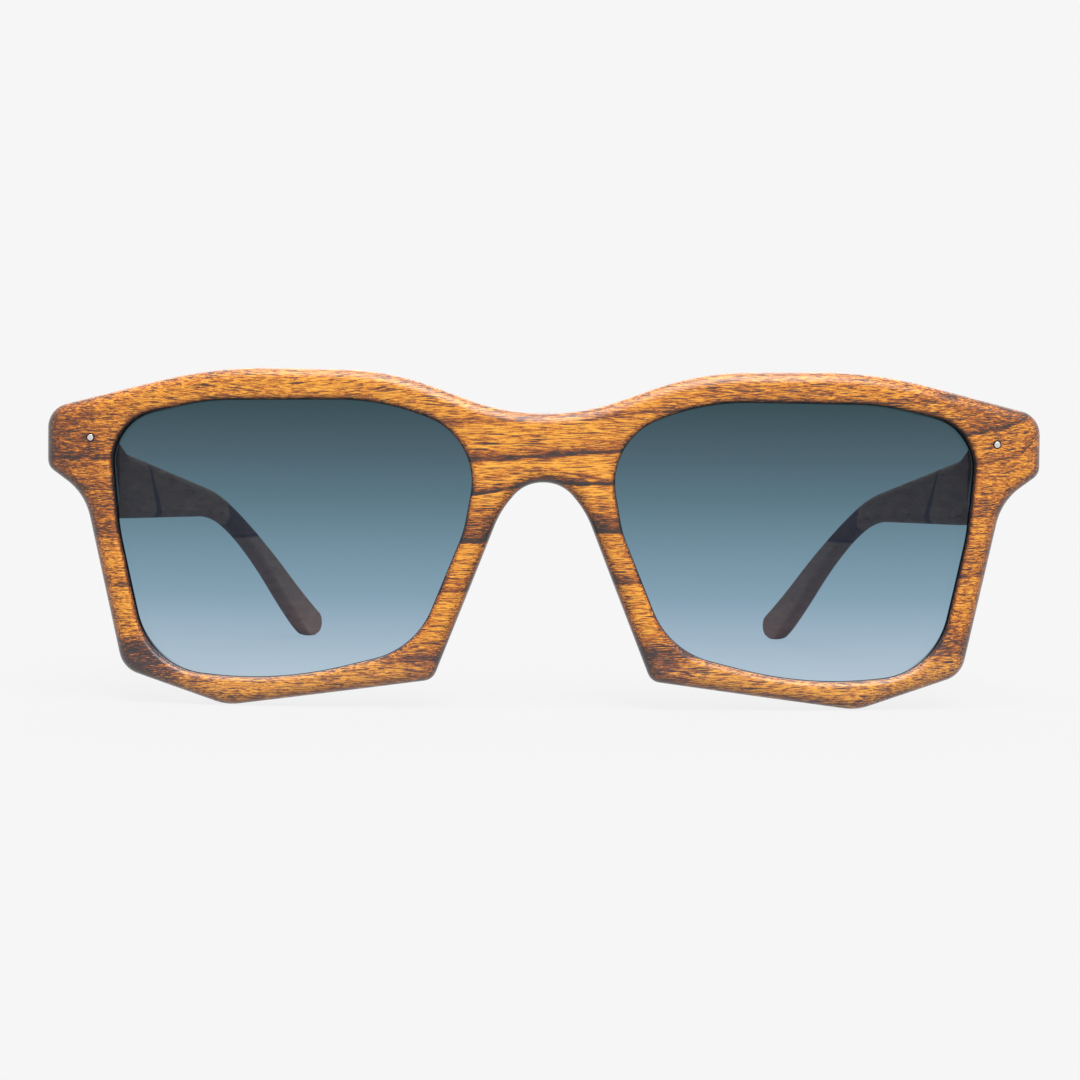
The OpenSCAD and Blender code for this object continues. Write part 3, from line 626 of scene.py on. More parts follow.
def front_wood():
    """Varnished plank wood with its grain across the face, greyer along the lower rims."""
    w = Nodes("front_wood")
    mm = w.millimetres()
    x, _, z = w.parts(mm)
    h, rise = ring_height(w, mm)
    mottle = w.noise(w.scaled(mm, MOTTLE), 5, 0.7)
    pore = pore_dashes(w, mm, rise)
    fibre = w.noise(w.scaled(mm, FIBRE), 4, 0.8)
    low = w.span(z, 11, 5)
    dark = w.plus(ring_darkness(w, mm, h), w.span(mottle, 0.34, 0.7, -0.06, 0.28))
    dark = w.plus(dark, w.times(pore, w.math("MULTIPLY_ADD", low, 0.3, 0.64)))
    contrast = w.math("MULTIPLY_ADD", low, 2.0, 3.2)
    dark = w.plus(dark, w.times(w.less(fibre, 0.5), contrast))
    for cx, cz, rx, rz, amount in TONE_PATCHES:
        dx = w.math("MULTIPLY_ADD", x, 1 / rx, -cx / rx)
        dz = w.math("MULTIPLY_ADD", z, 1 / rz, -cz / rz)
        r2 = w.plus(w.times(dx, dx), w.times(dz, dz))
        patch = w.times(w.math("EXPONENT", w.times(r2, -1.0)), amount)
        dark = w.plus(dark, w.times(patch, w.span(mottle, 0.3, 0.7, 0.6, 1.3)))
    # Painted shade on the edges, with the darker end grain at the sides.
    dark = w.plus(dark, w.times(w.attribute("end_grain_and_edge_shade"), GRAIN_AND_SHADE_DARK))
    colour = w.ramp(w.math("ADD", dark, ALL_DARK, clamp=True), WOOD_STOPS)
    grey = w.times(low, w.span(mottle, 0.3, 0.7, 0.0, 0.25))
    colour = w.mixed(grey, colour, (*LOWER_GREY, 1))
    colour = w.mixed(low, colour, (*LOWER_COOL, 1), blend="ADD")
    # Painted shade on the openings' walls behind the lens, where they turn inwards.
    colour = w.mixed(w.attribute("wall_shade_mask"), colour, (*WALL_SHADE_COLOUR, 1))
    height = w.less(w.times(fibre, 0.3), pore)
    return w.finish(
        Base_Color=colour, Roughness=w.span(fibre, 0.3, 0.7, 0.36, 0.5), Normal=w.bump(height, 0.3, 0.00008),
        Coat_Weight=0.8, Coat_Roughness=0.3, Specular_IOR_Level=0.35)


# Edges are darker than the face: at the sides partly for the end grain and partly as painted shade, below
# and, less so, above as painted shade. The openings' walls get a painted shade where they turn inwards behind
# the face.
TOP_EDGE_SHADE = 0.42
WALL_TURN, WALL_BEHIND, WALL_FADE = 0.3, 1.5, 0.4
end_grain_and_edge_shade, wall_shade_mask = [], []
for v in front.data.vertices:
    place, (nx, _, nz) = v.co / MM, v.normal
    across, up = math.copysign(OPEN_MID[0], place.x) - place.x, OPEN_MID[1] - place.z
    inward = (nx * across + nz * up) / math.hypot(across, up)
    behind = place.y - FRONT_Y - face_y(place.x)
    end_grain_and_edge_shade.append(nx * nx + max(0.0, -nz) ** 2 + TOP_EDGE_SHADE * max(0.0, nz) ** 2)
    wall_shade_mask.append(ease((inward - WALL_TURN) / WALL_TURN) * ease((behind - WALL_BEHIND) / WALL_FADE))
for name, values in (("end_grain_and_edge_shade", end_grain_and_edge_shade), ("wall_shade_mask", wall_shade_mask)):
    front.data.attributes.new(name, "FLOAT", "POINT").data.foreach_set("value", values)
dress(front, front_wood())
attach(front, "front")
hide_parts("front_frame")

# Lenses: two tinted sheets of optical plastic, ground to one curve on both faces, with a bevelled edge
# that snaps into the rim's groove. The blue-grey tint is dyed in and fades from the brow to the cheek.
LENS_RINGS, RINGS_REACH, LENS_STEP, LENS_SHARP = 26, 0.92, 0.5, 30
lens_edge = rounded_run(OPENING_CORNERS, True, LENS_STEP)
lens_across = -right_of(lens_edge, True)
lens_n = len(lens_edge)
# The dye, as the colour that white has through it at each height.
TINT_STOPS = [
    (4.0, linear(179, 196, 211)),
    (12.0, linear(151, 174, 192)),
    (16.0, linear(132, 160, 178)),
    (22.0, linear(116, 145, 162)),
    (30.0, linear(92, 119, 133)),
    (37.0, linear(77, 98, 109)),
    (45.0, linear(56, 75, 82)),
]
WHITE = linear(246, 246, 246)[0]
# Bluish reflection of the room that the lens adds, and the share of light that its two faces let through.
VEIL, MIRROR_TINT, LET_THROUGH = (0.014, 0.012, 0.02), (0.28, 0.25, 0.41, 1.0), 0.96
EDGE_SHADE = linear(16, 16, 18)


def lens_tint():
    """Clear plastic that takes more light away the higher it is: the dye's strength follows the height."""
    w = Nodes("lens_tint")
    low, high = TINT_STOPS[0][0], TINT_STOPS[-1][0]
    stops = []
    for height, colour in TINT_STOPS:
        passed = tuple(min(1.0, (c - v) / (WHITE * LET_THROUGH)) for c, v in zip(colour, VEIL))
        stops.append(((height - low) / (high - low), passed))
    dye = w.ramp(w.span(w.parts(w.millimetres())[2], low, high), stops)
    # Painted shade at the lens's rim, for the groove's dark wall behind it.
    colour = w.mixed(w.attribute("groove_shade"), dye, (*EDGE_SHADE, 1))
    return w.finish(
        Base_Color=colour, Roughness=0.0, IOR=1.59, Transmission_Weight=1.0, Specular_Tint=MIRROR_TINT)


def lens_loop(share, out, depth):
    """One loop of a lens surface: the edge drawn in to a share of its size, and moved outwards."""
    points = []
    for p, n in zip(lens_edge, lens_across):
        c = OPEN_MID + (p - OPEN_MID) * share + n * out
        points.append((c[0], lens_y(c, depth), c[1]))
    return points


# A painted shade on the lens's rim stands in for the groove's dark wall seen through it: a thin border,
# broader on the side away from the nose.
OUTER_BORDER, BORDER, BORDER_FADE = 0.25, 0.12, 0.08
OUTER_FROM, OUTER_FADE = 0.6, 0.25
outer_side = [ease(((p - OPEN_MID)[0] / (LENS_W / 2) - OUTER_FROM) / OUTER_FADE) for p in lens_edge]
clear, shaded = [0.0] * lens_n, [1.0] * lens_n
ring_shares = [RINGS_REACH * i / LENS_RINGS for i in range(1, LENS_RINGS + 1)]
borders = [
    (-OUTER_BORDER - BORDER_FADE, clear), (-OUTER_BORDER, outer_side),
    (-BORDER, outer_side), (-LENS_PLAY, shaded)]
bands = [(lens_loop(s, 0, 0), clear) for s in ring_shares]
bands += [(lens_loop(1, out, 0), shade) for out, shade in borders]
bands.append((lens_loop(1, GROOVE_D - 2 * LENS_PLAY, LENS_T / 2), shaded))
bands += [(lens_loop(1, out, LENS_T), shade) for out, shade in reversed(borders)]
bands += [(lens_loop(s, 0, LENS_T), clear) for s in reversed(ring_shares)]
lens_points = [(OPEN_MID[0], lens_y(OPEN_MID, 0), OPEN_MID[1])]
groove_shade = [0.0]
for loop, shade in bands:
    lens_points += loop
    groove_shade += shade
lens_points.append((OPEN_MID[0], lens_y(OPEN_MID, LENS_T), OPEN_MID[1]))
groove_shade.append(0.0)
last = len(lens_points) - 1
lens_faces = []
for k in range(lens_n):
    m = (k + 1) % lens_n
    lens_faces.append([0, 1 + k, 1 + m])
    for i in range(len(bands) - 1):
        a = 1 + i * lens_n
        lens_faces.append([a + k, a + lens_n + k, a + lens_n + m, a + m])
    lens_faces.append([last, last - lens_n + m, last - lens_n + k])
lens_material = lens_tint()
for side, word in ((-1, "left"), (1, "right")):
    name = "tinted_lens_" + word
    lens = in_scene(name, closed_mesh(name, placed(lens_points, side), lens_faces))
    crisp(lens, LENS_SHARP)
    lens.data.attributes.new("groove_shade", "FLOAT", "POINT").data.foreach_set("value", groove_shade)
    dress(lens, lens_material)
    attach(lens, "front")
    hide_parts("lens_" + word)

# Hinge halves: small stamped steel plates with rolled knuckles, plated black.
# The front's plate is let in flush and riveted, and the arm's tang is pinned in a slot.


def black_plate():
    """Black plated steel, with faint mottling in its gloss."""
    w = Nodes("black_plate")
    cloud = w.noise(w.scaled(w.millimetres(), (1.4, 1.4, 1.4)), 3)
    colour = w.ramp(cloud, [(0.3, (0.012, 0.012, 0.013)), (0.75, (0.035, 0.034, 0.036))])
    return w.finish(Base_Color=colour, Metallic=0.6, Roughness=w.span(cloud, 0.3, 0.7, 0.32, 0.5))


plate_material = black_plate()
for word in ("left", "right"):
    dress(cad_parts["front_hinge_leaf_" + word], plate_material)
    dress(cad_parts["temple_hinge_leaf_" + word], plate_material)

# Hinge screws: slotted steel screws turned down through the three knuckles of each hinge.
# Their heads are bare bright metal.


def bright_steel():
    """Bare steel with fine turning marks."""
    w = Nodes("bright_steel")
    marks = w.noise(w.scaled(w.millimetres(), (9, 9, 9)), 2)
    colour = w.ramp(marks, [(0.2, (0.55, 0.55, 0.54)), (0.8, (0.78, 0.78, 0.76))])
    return w.finish(Base_Color=colour, Metallic=1.0, Roughness=w.span(marks, 0.3, 0.7, 0.22, 0.36))


steel_material = bright_steel()
for word in ("left", "right"):
    dress(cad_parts["hinge_screw_" + word], steel_material)

# Rivets and pins: plain steel rod, pushed through and filed off with a slightly crowned end.
# One in each end piece shows as a bright dot in a dark ring of glue; two in each arm hold the tang.
CROWN, ROD_SIDES, ROD_SHARP = 0.07, 32, 40
# The crown's steps, in shares of the rod's radius and of the crown's height.
CROWN_STEPS = [(1.0, 0.0), (0.92, 0.45), (0.72, 0.8), (0.4, 1.0)]


def rod_tree():
    """Rods with a crowned end: one on each point, as long as the point's own length."""
    tree = bpy.data.node_groups.new("rods", "GeometryNodeTree")
    for name, kind in (
            ("Geometry", "Geometry"), ("Radius", "Float"), ("Crown", "Float"),
            ("Turn", "Vector"), ("Metal", "Material")):
        tree.interface.new_socket(name, in_out="INPUT", socket_type="NodeSocket" + kind)
    tree.interface.new_socket("Geometry", in_out="OUTPUT", socket_type="NodeSocketGeometry")
    new, link = tree.nodes.new, tree.links.new
    given, made = new("NodeGroupInput"), new("NodeGroupOutput")

    def times(size, share):
        node = new("ShaderNodeMath")
        node.operation = "MULTIPLY"
        link(size, node.inputs[0])
        node.inputs[1].default_value = share
        return node.outputs[0]

    def cone(low, high, height, bottom):
        node = new("GeometryNodeMeshCone")
        node.fill_type = "NGON"
        node.inputs["Vertices"].default_value = ROD_SIDES
        link(low, node.inputs["Radius Bottom"])
        link(high, node.inputs["Radius Top"])
        link(height, node.inputs["Depth"])
        moved = new("GeometryNodeTransform")
        link(node.outputs["Mesh"], moved.inputs["Geometry"])
        offset = new("ShaderNodeCombineXYZ")
        link(bottom, offset.inputs["Z"])
        link(offset.outputs[0], moved.inputs["Translation"])
        return moved.outputs[0]

    radius, crown = given.outputs["Radius"], given.outputs["Crown"]
    parts = new("GeometryNodeJoinGeometry")
    for (r0, h0), (r1, h1) in zip(CROWN_STEPS, CROWN_STEPS[1:]):
        step = cone(times(radius, r0), times(radius, r1), times(crown, h1 - h0), times(crown, h0))
        link(step, parts.inputs[0])
    shaft = new("GeometryNodeMeshCylinder")
    shaft.fill_type = "NGON"
    shaft.inputs["Vertices"].default_value = ROD_SIDES
    link(radius, shaft.inputs["Radius"])
    shaft.inputs["Depth"].default_value = 1.0
    sunk = new("GeometryNodeTransform")
    link(shaft.outputs["Mesh"], sunk.inputs["Geometry"])
    sunk.inputs["Translation"].default_value = (0, 0, -0.5)
    length = new("GeometryNodeInputNamedAttribute")
    length.data_type = "FLOAT"
    length.inputs["Name"].default_value = "length"
    stretch = new("ShaderNodeCombineXYZ")
    stretch.inputs["X"].default_value = stretch.inputs["Y"].default_value = 1.0
    link(length.outputs["Attribute"], stretch.inputs["Z"])
    both = new("GeometryNodeJoinGeometry")
    for shape, size in ((sunk.outputs[0], stretch.outputs[0]), (parts.outputs[0], None)):
        spread = new("GeometryNodeInstanceOnPoints")
        link(given.outputs["Geometry"], spread.inputs["Points"])
        link(shape, spread.inputs["Instance"])
        link(given.outputs["Turn"], spread.inputs["Rotation"])
        if size:
            link(size, spread.inputs["Scale"])
        link(spread.outputs[0], both.inputs[0])
    real = new("GeometryNodeRealizeInstances")
    link(both.outputs[0], real.inputs[0])
    metal = new("GeometryNodeSetMaterial")
    link(real.outputs[0], metal.inputs["Geometry"])
    link(given.outputs["Metal"], metal.inputs["Material"])
    link(metal.outputs[0], made.inputs[0])
    return tree


rods = rod_tree()


def set_rods(name, ends, lengths, turn):
    """Rods whose crowned ends lie at the given places in metres, as one plain mesh."""
    mesh = bpy.data.meshes.new(name)
    mesh.from_pydata(ends, [], [])
    mesh.attributes.new("length", "FLOAT", "POINT").data.foreach_set("value", lengths)
    piece = in_scene(name, mesh)
    maker = piece.modifiers.new("rods", "NODES")
    maker.node_group = rods
    values = {"Radius": RIVET_D / 2 * MM, "Crown": CROWN * MM, "Turn": turn, "Metal": steel_material}
    for item in rods.interface.items_tree:
        if item.in_out == "INPUT" and item.name in values:
            maker[item.identifier] = values[item.name]
    work_in(piece, maker)
    crisp(piece, ROD_SHARP)
    return piece


for side, word in ((-1, "left"), (1, "right")):
    end = placed([(RIVET_X, face_y(RIVET_X), RIVET_Z)], side)
    length = (BLOCK_Y - face_y(RIVET_X)) * MM
    rivet = set_rods("face_rivet_" + word, end, [length], (math.pi / 2, 0, 0))
    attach(rivet, "front")
    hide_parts("front_rivet_" + word)

# Arms: each sawn from one strip of darker heartwood, shaped between an upper and a lower edge, and bent down
# at the ear. The end at the hinge is hollowed for the knuckles and slotted for the tang.
ARM_GAP, BUTT_H, NECK_H, BEND_H = 0.3, 11.5, 10.0, 2.3
BUTT_T, MID_T, TIP_T = 5.1, 3.6, 2.8
NECK_AT, BEND_AT, TIP_L = 9.8, 88.0, 43.0
ARM_SLOPE, TIP_SLOPE, TIP_TAPER, TOE_IN = (math.radians(a) for a in (3.9, 32.5, 1.9, 5.5))
BEND_RADIUS, BEND_SPREAD, EAR_RADIUS, EAR_LEAD, ARM_ROUND, BUTT_ROUND = 110.0, 22.0, 190.0, 11.0, 1.4, 3.0
NECK_LAG, NECK_ROUND, BEND_LAG, TIP_THIN, MOST_ROUND = 0.8, 12.0, 1.7, 0.45, 0.48
FAR_Z, FAR_ROUND, NEAR_Z, NEAR_ROUND, TIP_HEEL, TIP_TOE = 1.6, 2.2, 0.4, 3.0, 7.4, 1.3
ARM_Y = BLOCK_Y + ARM_GAP
BEND_Y = ARM_Y + BEND_AT
FAR_Y = BEND_Y + BEND_LAG + TIP_L
BEND_Z = FAR_Z + TIP_L * math.tan(TIP_SLOPE - TIP_TAPER) - BEND_H / 2
NEAR_Y = BEND_Y - BEND_LAG + (BEND_Z - BEND_H / 2 - NEAR_Z) / math.tan(TIP_SLOPE + TIP_TAPER)
NECK_Z = BEND_Z + (BEND_AT - NECK_AT) * math.tan(ARM_SLOPE)
ARM_IN = OPEN_OUT + ARM_OFFSET
TANG_T, TANG_L, TANG_H, PIN_BITE = 1.4, 11.0, 3.4, 0.6
POCKET_R = KNUCKLE_R + LEAF_CLEAR
TANG_Y, TANG_TOP = AXIS_Y + POCKET_R, HINGE_Z + KNUCKLE_H / 2
ARM_STATIONS, TIP_STATIONS, ARM_EDGE_STEPS, ARM_STEP = 140, 26, 8, 0.25
upper_edge = rounded_run([
    (ARM_Y, HINGE_Z + BUTT_H / 2, 0),
    (ARM_Y + NECK_AT - NECK_LAG, NECK_Z + NECK_H / 2, NECK_ROUND),
    (BEND_Y + BEND_LAG, BEND_Z + BEND_H / 2, BEND_RADIUS + BEND_SPREAD),
    (FAR_Y, FAR_Z, FAR_ROUND),
    (FAR_Y - TIP_HEEL, 0, 0)], False, ARM_STEP)
lower_edge = rounded_run([
    (ARM_Y, HINGE_Z - BUTT_H / 2, 0),
    (ARM_Y + NECK_AT + NECK_LAG, NECK_Z - NECK_H / 2, NECK_ROUND),
    (BEND_Y - BEND_LAG, BEND_Z - BEND_H / 2, BEND_RADIUS - BEND_SPREAD),
    (NEAR_Y, NEAR_Z, NEAR_ROUND),
    (NEAR_Y + TIP_TOE, 0, 0)], False, ARM_STEP)


def along(run, shares):
    """Places at the given shares of a run's length."""
    d = np.concatenate([[0], np.cumsum(np.linalg.norm(np.diff(run, axis=0), axis=1))])
    return np.column_stack([np.interp(shares * d[-1], d, run[:, c]) for c in (0, 1)])


def arm_inner_x(y):
    """Place of the arm's inner side: it toes in, and bends further in behind the ear."""
    past = max(0.0, y - BEND_Y + EAR_LEAD)
    return ARM_IN - (y - ARM_Y) * math.tan(TOE_IN) - past ** 2 / (2 * EAR_RADIUS)


def arm_t(y):
    """Thickness of the arm, thinner at the middle than at the hinge and thinnest at the tip."""
    s = 2 * (y - ARM_Y) / BEND_AT
    return BUTT_T + (MID_T - BUTT_T) * ease(s) if s < 1 else MID_T + (TIP_T - MID_T) * ease(s - 1)


def arm_section(p, up, h, t):
    """A rounded rectangle across the arm, bent inwards as the arm is."""
    inner = min(ARM_ROUND, MOST_ROUND * h, MOST_ROUND * t)
    outer = BUTT_ROUND + (ARM_ROUND - BUTT_ROUND) * ease((p[0] - ARM_Y) / (2 * NECK_AT))
    outer = min(outer, MOST_ROUND * h, 2 * MOST_ROUND * t - inner)
    points = []
    for sx, sz, start in ((1, 1, 0), (-1, 1, 90), (-1, -1, 180), (1, -1, 270)):
        r = outer if sx > 0 else inner
        for i in range(ARM_EDGE_STEPS + 1):
            a = math.radians(start + 90 * i / ARM_EDGE_STEPS)
            y, z = p + up * (sz * (h / 2 - r) + r * math.sin(a))
            points.append((arm_inner_x(y) + t / 2 + sx * (t / 2 - r) + r * math.cos(a), y, z))
    return points


ARM_STOPS = [
    (0.0, linear(204, 150, 116)),
    (0.25, linear(168, 118, 90)),
    (0.5, linear(120, 80, 61)),
    (0.75, linear(74, 48, 39)),
    (1.0, linear(36, 24, 20)),
]
TIP_WOOD = linear(150, 118, 106)
ARM_WAVER, ARM_FIBRE = (0.1, 0.06, 0.2), (4.0, 0.6, 6.0)
ARM_MOTTLE, ARM_PORES = (0.5, 0.1, 0.8), (1.1, 0.2, 2.8)
# A black line across the arm, and the front of a dark wedge at its bend: distance behind the bridge's face at
# a height, and how far back each runs in a millimetre down. The wedge's foot is a line above the tip.
LINE_AT, LINE_Z, LINE_LEAN = 35.6, 33.0, 0.86
WEDGE_AT, WEDGE_Z, WEDGE_LEAN, WEDGE_FOOT = 88.3, 27.6, 0.5, 20.7


def arm_wood():
    """Darker, purple-brown heartwood with its grain along the arm, black lines that cross it and a dark wedge
    at its bend.
    """
    w = Nodes("arm_wood")
    mm = w.millimetres()
    _, y, z = w.parts(mm)
    back = w.less(y, FRONT_Y)

    def behind(at, level, lean):
        return w.less(back, w.math("MULTIPLY_ADD", w.less(level, z), lean, at))

    waver = w.noise(w.scaled(mm, ARM_WAVER), 2)
    shift = w.times(w.less(waver, 0.5), 2.0)
    first = w.plus(behind(LINE_AT, LINE_Z, LINE_LEAN), shift)
    width = w.span(z, 34, 26, 0.5, 2.2)
    line = w.span(w.math("DIVIDE", w.math("ABSOLUTE", first), width), 0.5, 1.0, 1, 0)
    main_end = w.span(w.plus(back, w.times(z, 0.5)), 96, 108, 1, 0)
    main = w.times(w.span(first, 0, 1.5), main_end)
    above = w.less(w.plus(z, w.times(shift, 0.3)), WEDGE_FOOT)
    wedge = w.span(behind(WEDGE_AT, WEDGE_Z, WEDGE_LEAN), -0.4, 0.8)
    wedge = w.times(wedge, w.span(above, -0.1, 0.25))
    wedge = w.times(wedge, w.span(back, 108, 119, 1, 0.2))
    foot = w.math("DIVIDE", w.math("ABSOLUTE", w.less(above, 0.3)), 0.55)
    foot = w.math("SUBTRACT", 1.0, foot, clamp=True)
    foot = w.times(foot, w.times(w.span(back, 89, 94), w.span(back, 113, 118, 1, 0)))
    fibre = w.noise(w.scaled(mm, ARM_FIBRE), 4, 0.75)
    mottle = w.noise(w.scaled(mm, ARM_MOTTLE), 4, 0.6)
    distance, chance = w.cells(w.scaled(mm, ARM_PORES))
    pore = w.times(w.span(distance, 0.22, 0.32, 1, 0), w.math("GREATER_THAN", chance, 0.5))
    dark = w.times(line, 0.8)
    dark = w.math("MAXIMUM", dark, w.times(foot, 0.95))
    dark = w.math("MAXIMUM", dark, w.times(wedge, 0.5))
    dark = w.plus(dark, w.times(main, 0.08))
    dark = w.plus(dark, w.span(mottle, 0.3, 0.7, -0.08, 0.2))
    dark = w.plus(dark, w.times(w.less(fibre, 0.5), 1.1))
    dark = w.plus(dark, w.times(pore, 0.3))
    colour = w.ramp(w.math("ADD", dark, 0.14, clamp=True), ARM_STOPS)
    tip = w.times(w.span(above, 0.1, -0.3), w.span(back, 88, 92))
    colour = w.mixed(w.times(tip, 0.5), colour, (*TIP_WOOD, 1))
    height = w.less(w.times(fibre, 0.3), pore)
    return w.finish(
        Base_Color=colour, Roughness=w.span(fibre, 0.3, 0.7, 0.5, 0.62), Normal=w.bump(height, 0.25, 0.00006),
        Specular_IOR_Level=0.15)


# Stations along the arm, crowded towards the hinge and the tip: shares of the arm, and of each edge, at its
# start, bend, tip and end.
ARM_SHARES, LOWER_SHARES, UPPER_SHARES = (0, 0.6, 0.88, 1), (0, 0.68, 0.95, 1), (0, 0.645, 0.93, 1)
TIP_SHARE, CROWDED = ARM_SHARES[2], 1.1
passed = np.sin(np.linspace(0, math.pi / 2, TIP_STATIONS + 1))[1:]
stations = np.concatenate([
    TIP_SHARE * (np.arange(ARM_STATIONS + 1) / ARM_STATIONS) ** CROWDED,
    TIP_SHARE + (1 - TIP_SHARE) * passed])
low_places = along(lower_edge, np.interp(stations, ARM_SHARES, LOWER_SHARES))
high_places = along(upper_edge, np.interp(stations, ARM_SHARES, UPPER_SHARES))
tip_thinning = TIP_THIN + (1 - TIP_THIN) * np.sqrt(np.clip(1 - passed ** 2, 0, 1))
thinning = np.concatenate([np.ones(ARM_STATIONS + 1), tip_thinning])
arm_sections = []
for a, b, thin in zip(low_places, high_places, thinning):
    middle = (a + b) / 2
    arm_sections.append(arm_section(middle, unit(b - a), np.linalg.norm(b - a), arm_t(middle[0]) * thin))
arm_n = len(arm_sections[0])
TANG_FALL, TANG_KNEE, TANG_ROOT_H = 1.8, 0.4, 4.0
tang_run = rounded_run([
    (TANG_Y - CUT_PAST, TANG_TOP - TANG_ROOT_H - SEAT_GAP, 0.4),
    (TANG_Y - CUT_PAST, TANG_TOP + SEAT_GAP, 0.2),
    (TANG_Y + TANG_KNEE * TANG_L, TANG_TOP + SEAT_GAP, 2),
    (TANG_Y + TANG_L + SEAT_GAP, TANG_TOP - TANG_FALL + SEAT_GAP, 0.8),
    (TANG_Y + TANG_L + SEAT_GAP, TANG_TOP - TANG_FALL - TANG_H - SEAT_GAP, 0.8)], True, CUT_STEP)
PIN_PLACES = [(TANG_Y + 0.3 * TANG_L, TANG_TOP - 1.9), (TANG_Y + 0.72 * TANG_L, TANG_TOP - 3.0)]
arm_material = arm_wood()
arm_faces = [list(range(arm_n)), [len(arm_sections) * arm_n - 1 - j for j in range(arm_n)]]
for k in range(len(arm_sections) - 1):
    for j in range(arm_n):
        i = (j + 1) % arm_n
        arm_faces.append([k * arm_n + j, k * arm_n + i, (k + 1) * arm_n + i, (k + 1) * arm_n + j])
inner, outer, first = AXIS_X - 2 * BUTT_T, AXIS_X + POCKET_R, ARM_Y - CUT_PAST
knuckle_corners = ((inner, first), (outer, first), (outer, TANG_Y), (inner, TANG_Y))
knuckle_pocket = [(px, py, HINGE_Z - BUTT_H) for px, py in knuckle_corners]
tang_slot = [(AXIS_X - TANG_T / 2 - SEAT_GAP, ty, tz) for ty, tz in tang_run]
pin_start = AXIS_X - TANG_T / 2 - PIN_BITE
pin_ends = [(arm_inner_x(py) + arm_t(py), py, pz) for py, pz in PIN_PLACES]
for side, word in ((-1, "left"), (1, "right")):
    points = []
    for section in arm_sections:
        points += placed(section, side)
    arm = in_scene("arm_" + word, closed_mesh("arm_" + word, points, arm_faces))
    cut_away(arm, [
        solid_prism("pocket_cut", placed(knuckle_pocket, side), (0, 0, 2 * BUTT_H * MM)),
        solid_prism("slot_cut", placed(tang_slot, side), (side * (TANG_T + 2 * SEAT_GAP) * MM, 0, 0))])
    crisp(arm, WOOD_SHARP)
    dress(arm, arm_material)
    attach(arm, "arm_" + word)
    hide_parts("temple_" + word)
    pins = set_rods(
        "arm_pins_" + word, placed(pin_ends, side), [(end[0] - pin_start) * MM for end in pin_ends],
        (0, side * math.pi / 2, 0))
    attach(pins, "arm_" + word)
    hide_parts("temple_rivets_" + word)

# Studio: a plain white table and backdrop under three broad soft lights, one overhead, one high in front and
# a weak one behind. The camera looks almost level at the front from a little below the brow.
TABLE_HALF, TABLE_Z = 6.0, -0.0001
PAPER_GREY, PAPER_GLOW, GLOW_SHARE, FILL_LIGHT = 0.27, 1.125, 0.8, 0.5
corner_signs = ((-1, -1), (1, -1), (1, 1), (-1, 1))
table_corners = [(sx * TABLE_HALF, sy * TABLE_HALF, TABLE_Z) for sx, sy in corner_signs]
table_mesh = bpy.data.meshes.new("table")
table_mesh.from_pydata(table_corners, [], [[0, 1, 2, 3]])
table = in_scene("table", table_mesh)


def even_grey(tree, kind, level, **settings):
    """A shader of one grey all over."""
    shader = tree.nodes.new(kind)
    shader.inputs["Color"].default_value = (level, level, level, 1)
    for name, value in settings.items():
        shader.inputs[name].default_value = value
    return shader


def seen_white(tree, lit, bright, share):
    """The camera sees mostly the bright shader, also mirrored or through a lens; light meets the lit one."""
    path = tree.nodes.new("ShaderNodeLightPath").outputs
    part = path["Is Camera Ray"]
    for ray in ("Is Transmission Ray", "Is Glossy Ray"):
        either = tree.nodes.new("ShaderNodeMath")
        either.operation = "MAXIMUM"
        tree.links.new(part, either.inputs[0])
        tree.links.new(path[ray], either.inputs[1])
        part = either.outputs[0]
    shown = tree.nodes.new("ShaderNodeMath")
    shown.operation = "MULTIPLY"
    tree.links.new(part, shown.inputs[0])
    shown.inputs[1].default_value = share
    blend = tree.nodes.new("ShaderNodeMixShader")
    tree.links.new(shown.outputs[0], blend.inputs["Fac"])
    tree.links.new(lit.outputs[0], blend.inputs[1])
    tree.links.new(bright.outputs[0], blend.inputs[2])
    out = next(n for n in tree.nodes if n.type.startswith("OUTPUT"))
    tree.links.new(blend.outputs[0], out.inputs["Surface"])


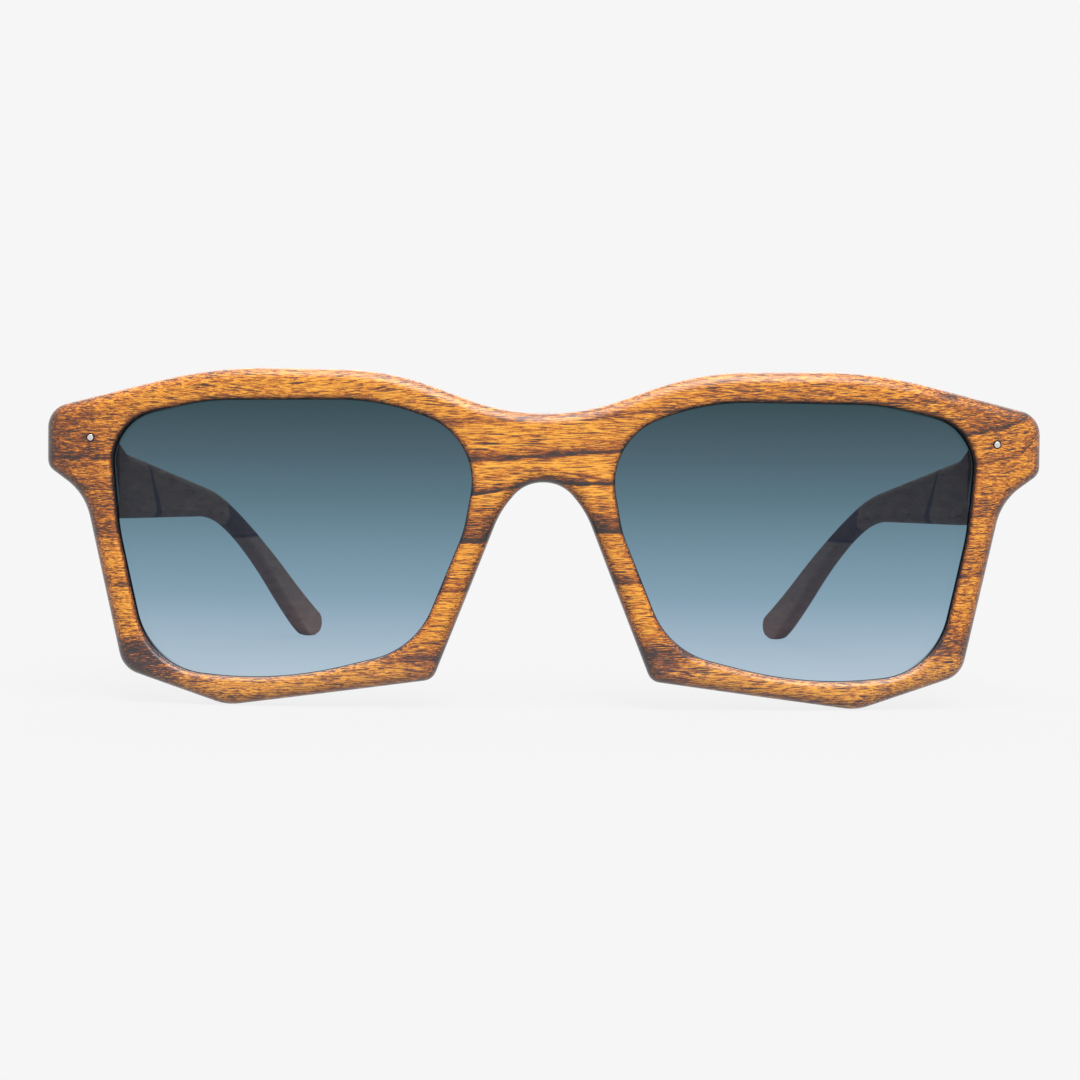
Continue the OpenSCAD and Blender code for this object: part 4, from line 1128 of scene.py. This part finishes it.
paper = bpy.data.materials.new("white_paper")
paper.use_nodes = True
matte = even_grey(paper.node_tree, "ShaderNodeBsdfDiffuse", PAPER_GREY)
glow = even_grey(paper.node_tree, "ShaderNodeEmission", WHITE, Strength=PAPER_GLOW)
seen_white(paper.node_tree, matte, glow, GLOW_SHARE)
dress(table, paper)

world = bpy.data.worlds.new("studio")
world.use_nodes = True
bpy.context.scene.world = world
fill = even_grey(world.node_tree, "ShaderNodeBackground", 1.0, Strength=FILL_LIGHT)
white = even_grey(world.node_tree, "ShaderNodeBackground", WHITE)
seen_white(world.node_tree, fill, white, 1.0)


def soft_sun(name, towards, strength, spread):
    """A broad, even light that shines along a direction."""
    lamp = bpy.data.lights.new(name, "SUN")
    lamp.energy, lamp.angle = strength, math.radians(spread)
    in_scene(name, lamp).rotation_euler = Vector(towards).to_track_quat("-Z", "Y").to_euler()


soft_sun("overhead", (0.0, 0.25, -1), 2.2, 44)
soft_sun("front_key", (-0.25, 0.7, -0.75), 1.75, 40)
soft_sun("behind", (0.0, -0.75, -0.65), 0.8, 46)

CAMERA_PLACE, FOCAL_PX, FRAME_PX, SENSOR = (0, -0.42135, 0.037), 2452.9, 1080, 36.0
PITCH, YAW, ROLL = (math.radians(a) for a in (2.076, -0.069, 0.468))
across = Vector((math.cos(YAW), -math.sin(YAW), 0))
level = Vector((math.sin(YAW), math.cos(YAW), 0))
ahead = level * math.cos(PITCH) - Vector((0, 0, math.sin(PITCH)))
upward = level * math.sin(PITCH) + Vector((0, 0, math.cos(PITCH)))
right = across * math.cos(ROLL) + upward * math.sin(ROLL)
up = upward * math.cos(ROLL) - across * math.sin(ROLL)
camera_data = bpy.data.cameras.new("camera")
camera_data.sensor_fit, camera_data.sensor_width = "HORIZONTAL", SENSOR
camera_data.lens = FOCAL_PX / FRAME_PX * SENSOR
camera_data.clip_start = 0.01
camera = in_scene("camera", camera_data)
turn = Matrix((right, up, -ahead)).transposed().to_4x4()
camera.matrix_world = Matrix.Translation(CAMERA_PLACE) @ turn
bpy.context.scene.camera = camera
bpy.context.scene.view_settings.view_transform = "Standard"
